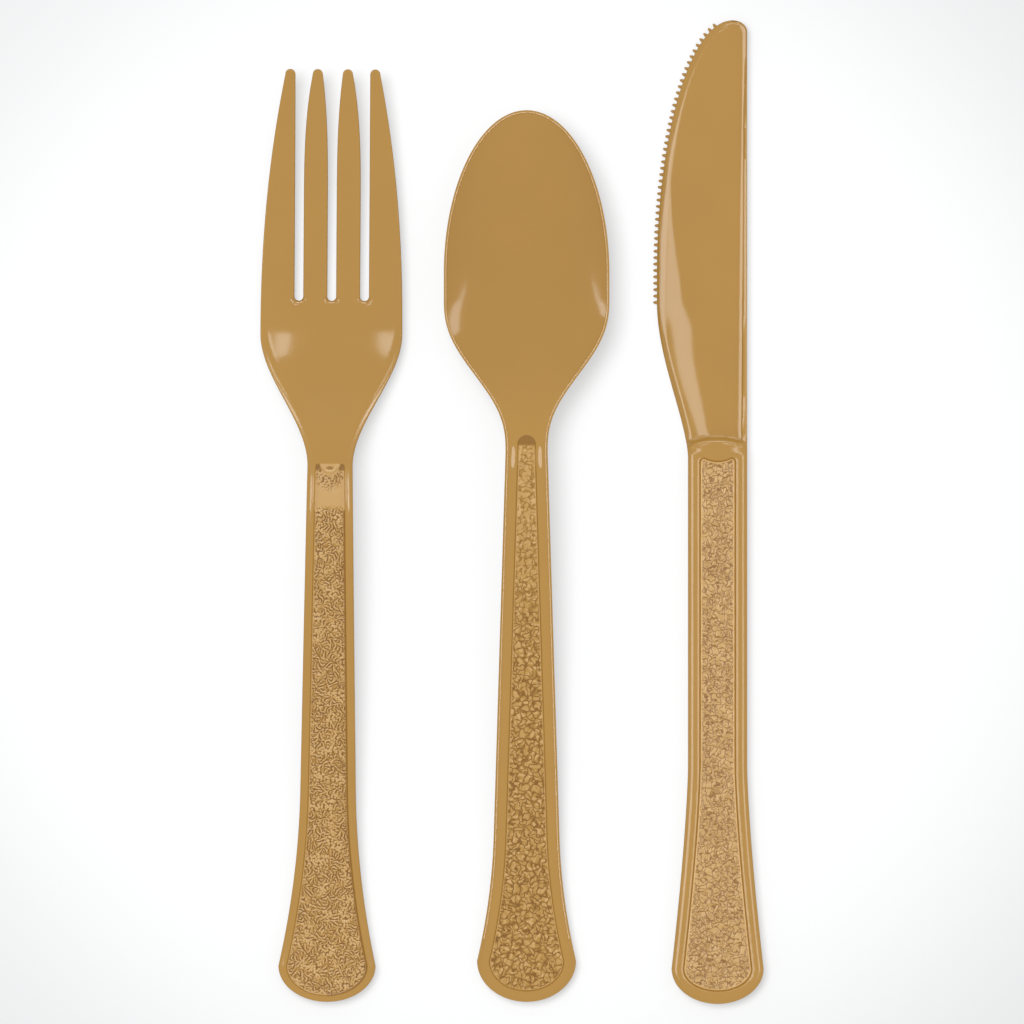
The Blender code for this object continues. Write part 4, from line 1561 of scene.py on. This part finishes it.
    def slant(self, y: np.ndarray) -> np.ndarray:
        """Share of a step across the blade that leads away from its slanting edge.

        Args:
            y: Distance from the handle's end.

        Returns:
            The share, from 0 to 1.
        """
        step = self.slant_step
        ahead = self.left(np.minimum(y + step, self.length))
        run = (ahead - self.left(y - step)) / (2.0 * step)
        return 1.0 / np.sqrt(1.0 + run ** 2)

    def feature_loops(self, border: Border) -> list[np.ndarray]:
        """Loops along the blade's bevel and rib.

        Args:
            border: The knife's outline.

        Returns:
            The points of each loop.
        """
        first, last = self.step + self.loop_start, self.length - self.loop_margin
        loops = [border.offset(distance * MM) for distance in self.bevel_loops]
        return [loop[(loop[:, 1] > first) & (loop[:, 1] < last)] for loop in loops]


@dataclass(frozen=True)
class RimBead:
    """Low rounded strip that runs along a utensil's rim, nearly sunk in its face."""

    name: str
    inset: float
    radius: float
    proud: float
    lowest: float
    highest: float
    lens: bool = False
    sides: int = 40

    def path(self, utensil: Utensil) -> tuple[np.ndarray, list[tuple[int, int]]]:
        """Points along the rim between the two heights, and the pairs that follow on.

        Args:
            utensil: The utensil whose rim it follows.

        Returns:
            The points, and pairs of their numbers.
        """
        fine = utensil.fineness
        border = Border(utensil.outline(), fine.outline, fine.turn)
        flat = border.offset(self.inset)
        x, y = flat.T
        kept = (y > self.lowest) & (y < self.highest)
        along = (y - self.lowest) / (self.highest - self.lowest)
        rise = 8.0 * along * (1.0 - along) - 1.0 if self.lens else np.ones_like(y)
        drop = utensil.edge.drop(border.depth(flat), y)
        height = utensil.face(x, y) - drop - self.radius + self.proud * rise
        points = utensil.placement.lay(np.column_stack([flat, height]))
        count = len(points)
        new = np.cumsum(kept) - 1
        pairs = [(int(new[i]), int(new[(i + 1) % count])) for i in range(count)
                 if kept[i] and kept[(i + 1) % count]]
        return points[kept], pairs

    def tree(self) -> bpy.types.NodeTree:
        """Geometry Nodes tree that sweeps a small circle along a line.

        Returns:
            The new tree.
        """
        write, given = open_tree("sweep_bead", ("Bead radius",))
        line = write.node("GeometryNodeMeshToCurve", {"Mesh": given["Geometry"]})
        ring = write.node("GeometryNodeCurvePrimitiveCircle", {
            "Resolution": self.sides, "Radius": given["Bead radius"]})
        swept = write.node("GeometryNodeCurveToMesh", {
            "Curve": line, "Profile Curve": ring.outputs["Curve"], "Fill Caps": True})
        return close_tree(write, swept, given["Plastic"], rounded=True)

    def build(self, utensil: Utensil, finish: GoldPlastic) -> bpy.types.Object:
        """Make the bead and fasten it to the utensil's place.

        Args:
            utensil: The utensil whose rim it follows.
            finish: Its plastic.

        Returns:
            The bead as one object.
        """
        name = utensil.name + self.name
        points, pairs = self.path(utensil)
        mesh = bpy.data.meshes.new(name)
        mesh.from_pydata(points.tolist(), pairs, [])
        made = add_object(name, mesh)
        apply_tree(made, self.tree(), {"Bead radius": self.radius,
                                       "Plastic": finish.material(name + "_plastic")})
        fasten(made)
        return made


@dataclass(frozen=True)
class ToothRow:
    """Row of small rounded teeth along the blade's edge."""

    pitch: float = 0.00121
    width: float = 0.00066
    reach: float = 0.00075
    thickness: float = 0.00075
    lowest: float = 0.1355
    tip_margin: float = 0.0012
    height: float = 0.00052
    line_count: int = 700
    segments: int = 12
    rings: int = 8

    def path(self, knife: Knife) -> np.ndarray:
        """Points along the blade's edge, from the heel towards the tip.

        Args:
            knife: The knife whose edge they line.

        Returns:
            The points.
        """
        y = np.linspace(self.lowest, knife.length - self.tip_margin, self.line_count)
        flat = np.column_stack([knife.left(y), y, np.full_like(y, self.height)])
        return knife.placement.lay(flat)

    def tree(self) -> bpy.types.NodeTree:
        """Geometry Nodes tree that sets one tooth at every pitch along a line.

        Returns:
            The new tree.
        """
        write, given = open_tree("set_teeth", ("Tooth pitch", "Tooth width", "Tooth reach",
                                               "Tooth thickness"))
        line = write.node("GeometryNodeMeshToCurve", {"Mesh": given["Geometry"]})
        even = write.node("GeometryNodeResampleCurve", {"Curve": line,
                                                        "Length": given["Tooth pitch"]},
                          mode="LENGTH")
        tooth = write.node("GeometryNodeMeshUVSphere", {"Segments": self.segments,
                                                        "Rings": self.rings, "Radius": 1.0})
        turned = write.node("FunctionNodeAlignRotationToVector",
                            {"Vector": write.node("GeometryNodeInputTangent")}, axis="Y")
        size = write.node("ShaderNodeCombineXYZ", {
            "X": given["Tooth reach"],
            "Y": write.math("MULTIPLY", given["Tooth width"], 0.5),
            "Z": write.math("MULTIPLY", given["Tooth thickness"], 0.5)})
        teeth = write.node("GeometryNodeInstanceOnPoints", {
            "Points": even, "Instance": tooth.outputs["Mesh"], "Rotation": turned,
            "Scale": size})
        return close_tree(write, teeth, given["Plastic"], rounded=True)

    def build(self, knife: Knife, finish: GoldPlastic) -> bpy.types.Object:
        """Make the teeth and fasten them to the knife's place.

        Args:
            knife: The knife whose edge they line.
            finish: Their plastic.

        Returns:
            The teeth as one object.
        """
        points = self.path(knife)
        mesh = bpy.data.meshes.new("blade_edge_line")
        mesh.from_pydata(points.tolist(), [(i, i + 1) for i in range(len(points) - 1)], [])
        made = add_object("knife_teeth", mesh)
        apply_tree(made, self.tree(), {"Tooth pitch": self.pitch, "Tooth width": self.width,
                                       "Tooth reach": self.reach,
                                       "Tooth thickness": self.thickness,
                                       "Plastic": finish.material("tooth_plastic")})
        fasten(made)
        return made


@dataclass(frozen=True)
class Table:
    """Pale table top that the set lies on, which runs out of the picture on all sides."""

    size: float = 4.0
    level: float = -0.02 * MM
    colour: tuple[float, float, float] = (0.30, 0.30, 0.30)
    seen_colour: tuple[float, float, float] = (0.200, 0.202, 0.204)
    glow: float = 0.525
    # Painted pool of light: the glow fades to this at the corners, between the two fade distances.
    corner_glow: float = 0.345
    fade_start: float = 0.085
    fade_end: float = 0.15

    def material(self) -> bpy.types.Material:
        """Matt white that the camera sees glowing, a painted pool of light a little brighter in
        the middle.

        Returns:
            The new material.
        """
        made = bpy.data.materials.new("table_white")
        made.use_nodes = True
        nodes = made.node_tree.nodes
        nodes.clear()
        write = TreeWriter(made.node_tree)
        place = write.node("ShaderNodeTexCoord").outputs["Object"]
        away = write.vector("LENGTH", place).outputs["Value"]
        # Painted pool of light: the glow is brightest in the middle and fades towards the corners.
        glow = write.spread(away, self.fade_start, self.fade_end, self.glow, self.corner_glow)
        matt = write.node("ShaderNodeBsdfDiffuse", {"Color": (*self.colour, 1.0)})
        shade = write.node("ShaderNodeBsdfDiffuse", {"Color": (*self.seen_colour, 1.0)})
        light = write.node("ShaderNodeEmission", {"Strength": glow})
        seen = write.step("ShaderNodeAddShader", None, (shade, light))
        either = write.node("ShaderNodeMixShader", {
            "Fac": write.node("ShaderNodeLightPath").outputs["Is Camera Ray"]})
        write.feed(either.inputs[1], matt)
        write.feed(either.inputs[2], seen)
        write.node("ShaderNodeOutputMaterial", {"Surface": either})
        return made

    def build(self) -> bpy.types.Object:
        """Lay the table top just under the set.

        Returns:
            The new object.
        """
        half = self.size / 2.0
        corners = [(-half, -half), (half, -half), (half, half), (-half, half)]
        mesh = bpy.data.meshes.new("table_top")
        mesh.from_pydata([(x, y, self.level) for x, y in corners], [], [(0, 1, 2, 3)])
        mesh.materials.append(self.material())
        made = add_object("table_top", mesh)
        return made


class Hung(Enum):
    """Where a lamp hangs, as the turn that makes it face the set squarely."""

    CEILING = (0.0, 0.0, 0.0)
    LEFT_WALL = (math.pi / 2.0, 0.0, -math.pi / 2.0)
    RIGHT_WALL = (math.pi / 2.0, 0.0, math.pi / 2.0)


@dataclass(frozen=True)
class Softbox:
    """Rectangular lamp, hung from the ceiling or on a side wall, that lights the pieces named.

    A lamp that only glints shows in the gloss and adds nothing to the level of light.
    """

    name: str
    place: tuple[float, float, float]
    width: float
    height: float
    brightness: float
    lit: tuple[str, ...]
    only_glints: bool = True
    hung: Hung = Hung.CEILING

    def build(self) -> bpy.types.Object:
        """Hang the lamp, with its power worked out from the brightness of its face.

        Returns:
            The lamp's object.
        """
        group = bpy.data.collections.new(self.name + "_lights")
        for piece in self.lit:
            group.objects.link(bpy.data.objects[piece])
        lamp = bpy.data.lights.new(self.name, "AREA")
        lamp.shape = "RECTANGLE"
        lamp.size = self.width
        lamp.size_y = self.height
        lamp.energy = self.brightness * math.pi * self.width * self.height
        made = add_object(self.name, lamp)
        made.location = self.place
        made.rotation_euler = self.hung.value
        made.light_linking.receiver_collection = group
        made.visible_diffuse = not self.only_glints
        return made


@dataclass(frozen=True)
class Studio:
    """Lights and camera of the product picture."""

    sky: float = 1.005
    horizon: float = 0.82
    sky_start: float = 0.10
    sky_end: float = 0.50
    view_width: float = 0.1977
    lens: float = 400.0
    sensor: float = 36.0
    focus_height: float = 0.003

    def lights(self) -> None:
        """Softboxes, each kept to the pieces that it should light, and a plain sky."""
        fork, spoon, knife = ("fork_moulding",), ("spoon_moulding",), ("knife_moulding",)
        left, right = Hung.LEFT_WALL, Hung.RIGHT_WALL
        boxes = (
            Softbox("table_key", (-0.40, 0.34, 1.5), 0.85, 0.85, 20.0, ("table_top",), False),
            Softbox("fork_left", (-0.54, 0.33, 1.5), 0.17, 0.34, 5.0, fork),
            Softbox("fork_right", (0.35, 0.345, 1.5), 0.13, 0.35, 5.6, fork),
            Softbox("fork_far_left", (-0.95, 0.30, 1.5), 0.30, 0.50, 7.0, fork),
            Softbox("fork_far_right", (0.80, 0.30, 1.5), 0.30, 0.50, 8.0, fork),
            Softbox("fork_far", (0.0, 2.05, 1.5), 1.8, 1.6, 6.0, fork),
            Softbox("spoon_left", (-1.60, 0.29, 0.47), 0.25, 0.18, 5.0, spoon, hung=left),
            Softbox("spoon_right", (1.60, 0.56, 0.62), 0.66, 0.26, 4.2, spoon, hung=right),
            Softbox("rim_panel", (0.0, 0.0, 1.5), 1.5, 1.5, 7.5, ("spoon_rim_bead",)),
            Softbox("pads_panel", (0.0, 0.0, 1.5), 1.5, 1.5, 5.0, ("spoon_crest_pads",)),
            Softbox("blade_box", (-0.22, 0.0, 1.5), 0.20, 0.44, 4.2, knife),
            Softbox("collar_left", (-0.12, 0.44, 1.5), 0.12, 0.14, 6.0, knife),
            Softbox("collar_right", (0.25, 0.46, 1.5), 0.16, 0.18, 6.0, knife),
            Softbox("knife_left", (-1.12, 0.0, 1.5), 1.55, 0.80, 5.2, knife),
            Softbox("knife_right", (1.12, 0.0, 1.5), 1.55, 0.80, 4.2, knife),
            Softbox("knife_far", (0.0, 1.90, 1.5), 1.4, 1.1, 4.5, knife))
        for box in boxes:
            box.build()
        world = bpy.data.worlds.new("soft_sky")
        world.use_nodes = True
        write = TreeWriter(world.node_tree)
        way = write.node("ShaderNodeTexCoord").outputs["Generated"]
        up = write.node("ShaderNodeSeparateXYZ", {"Vector": way}).outputs["Z"]
        level = write.spread(up, self.sky_start, self.sky_end, self.horizon, self.sky)
        write.feed(world.node_tree.nodes["Background"].inputs["Strength"], level)
        world.node_tree.nodes["Background"].inputs["Color"].default_value = (1.0, 1.0, 1.0, 1.0)
        bpy.context.scene.world = world

    def camera(self) -> None:
        """Camera straight above, far enough away to see the set without perspective."""
        lens = bpy.data.cameras.new("overhead")
        lens.lens = self.lens
        lens.sensor_width = self.sensor
        made = add_object("overhead", lens)
        distance = self.view_width * self.lens / self.sensor
        made.location = (0.0, 0.0, self.focus_height + distance)
        bpy.context.scene.camera = made


def place_of_set() -> tuple[Placement, Placement, Placement]:
    """Places of fork, spoon and knife, from the boxes of their CAD nodes.

    Returns:
        The three places.
    """
    spoon_low, spoon_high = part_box("spoon")
    _, knife_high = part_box("knife")
    knife_low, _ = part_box("knife")
    spoon_x = (spoon_low[0] + spoon_high[0]) / 2.0
    knife_x = knife_high[0] - KNIFE_HANDLE.end_width / 2.0
    return (Placement(spoon_x - FORK_TO_SPOON, spoon_low[1], FORK_TURN),
            Placement(spoon_x, spoon_low[1]),
            Placement(knife_x, knife_low[1]))


FORK_HANDLE = HandleShape(0.1035, 0.0087, 0.0118, 0.01874, 0.00695, 0.034, 2.0)
SPOON_HANDLE = HandleShape(0.1060, 0.00812, 0.0142, 0.01912, 0.0079, 0.024, 2.0)
KNIFE_HANDLE = HandleShape(0.1055, 0.0114, 0.0114, 0.01776, 0.0068, 0.039, 1.4)


def make_set(finish: GoldPlastic) -> None:
    """Build and dress the three utensils.

    Args:
        finish: The plastic that all three are moulded in.
    """
    fork_place, spoon_place, knife_place = place_of_set()
    fork = Fork(
        name="fork", handle=FORK_HANDLE, placement=fork_place,
        edge=EdgeProfile(1.05 * MM, 0.42 * MM, 0.55 * MM, 0.25 * MM, 0.28 * MM, 0.1240, 0.012),
        panel=PanelShape(1.45 * MM, 1.1 * MM, 0.1040, 0.5 * MM, 0.45 * MM, 0.22 * MM,
                         ramp=1.7 * MM),
        grain=Grain(GrainStyle.RIDGED, 0.58 * MM, 0.18 * MM, 7),
        bevel_reach=0.134, core_end=0.1030)
    spoon = Spoon(
        name="spoon", handle=SPOON_HANDLE, placement=spoon_place,
        edge=EdgeProfile(0.90 * MM, 0.50 * MM, 0.14 * MM, 0.16 * MM, 0.28 * MM, 0.1120, 0.012),
        panel=PanelShape(2.25 * MM, 2.0 * MM, 0.1095, 8.12 * MM, 0.24 * MM, 0.20 * MM,
                         ramp=2.4 * MM, groove_depth=0.10 * MM, groove_place=0.12 * MM,
                         groove_width=0.12 * MM),
        grain=Grain(GrainStyle.PEBBLED, 1.20 * MM, 0.17 * MM, 4),
        bevel_reach=0.125, core_end=0.1060)
    knife = Knife(
        name="knife", handle=KNIFE_HANDLE, placement=knife_place,
        edge=EdgeProfile(0.80 * MM, 0.45 * MM, 0.12 * MM, 0.16 * MM, 0.25 * MM, 0.1075, 0.003),
        panel=PanelShape(2.2 * MM, 2.4 * MM, 0.1055, 0.9 * MM, 0.06 * MM, 0.20 * MM,
                         dip=0.65 * MM, groove_depth=0.24 * MM, groove_place=0.10 * MM,
                         groove_width=0.12 * MM, grain_margin=0.35 * MM),
        grain=Grain(GrainStyle.ENGRAVED, 1.05 * MM, 0.10 * MM, 9),
        bevel_reach=0.1100, core_end=0.0935)
    for utensil in (fork, spoon, knife):
        utensil.dress(utensil.build(), finish)
    RimBead("_rim_bead", 0.40 * MM, 0.22 * MM, 0.07 * MM, 0.012, 1.0).build(spoon, finish)
    RimBead("_crest_pads", 1.50 * MM, 1.50 * MM, 0.06 * MM, 0.1022, 0.1080,
            lens=True).build(spoon, finish)
    ToothRow().build(knife, finish)


def main() -> None:
    """Build the set, the table, the lights and the camera."""
    logging.basicConfig(level=logging.INFO, format="%(message)s")
    make_set(GoldPlastic())
    Table().build()
    studio = Studio()
    studio.lights()
    studio.camera()
    bpy.context.scene.view_settings.view_transform = "Standard"


if __name__ == "__main__":
    main()
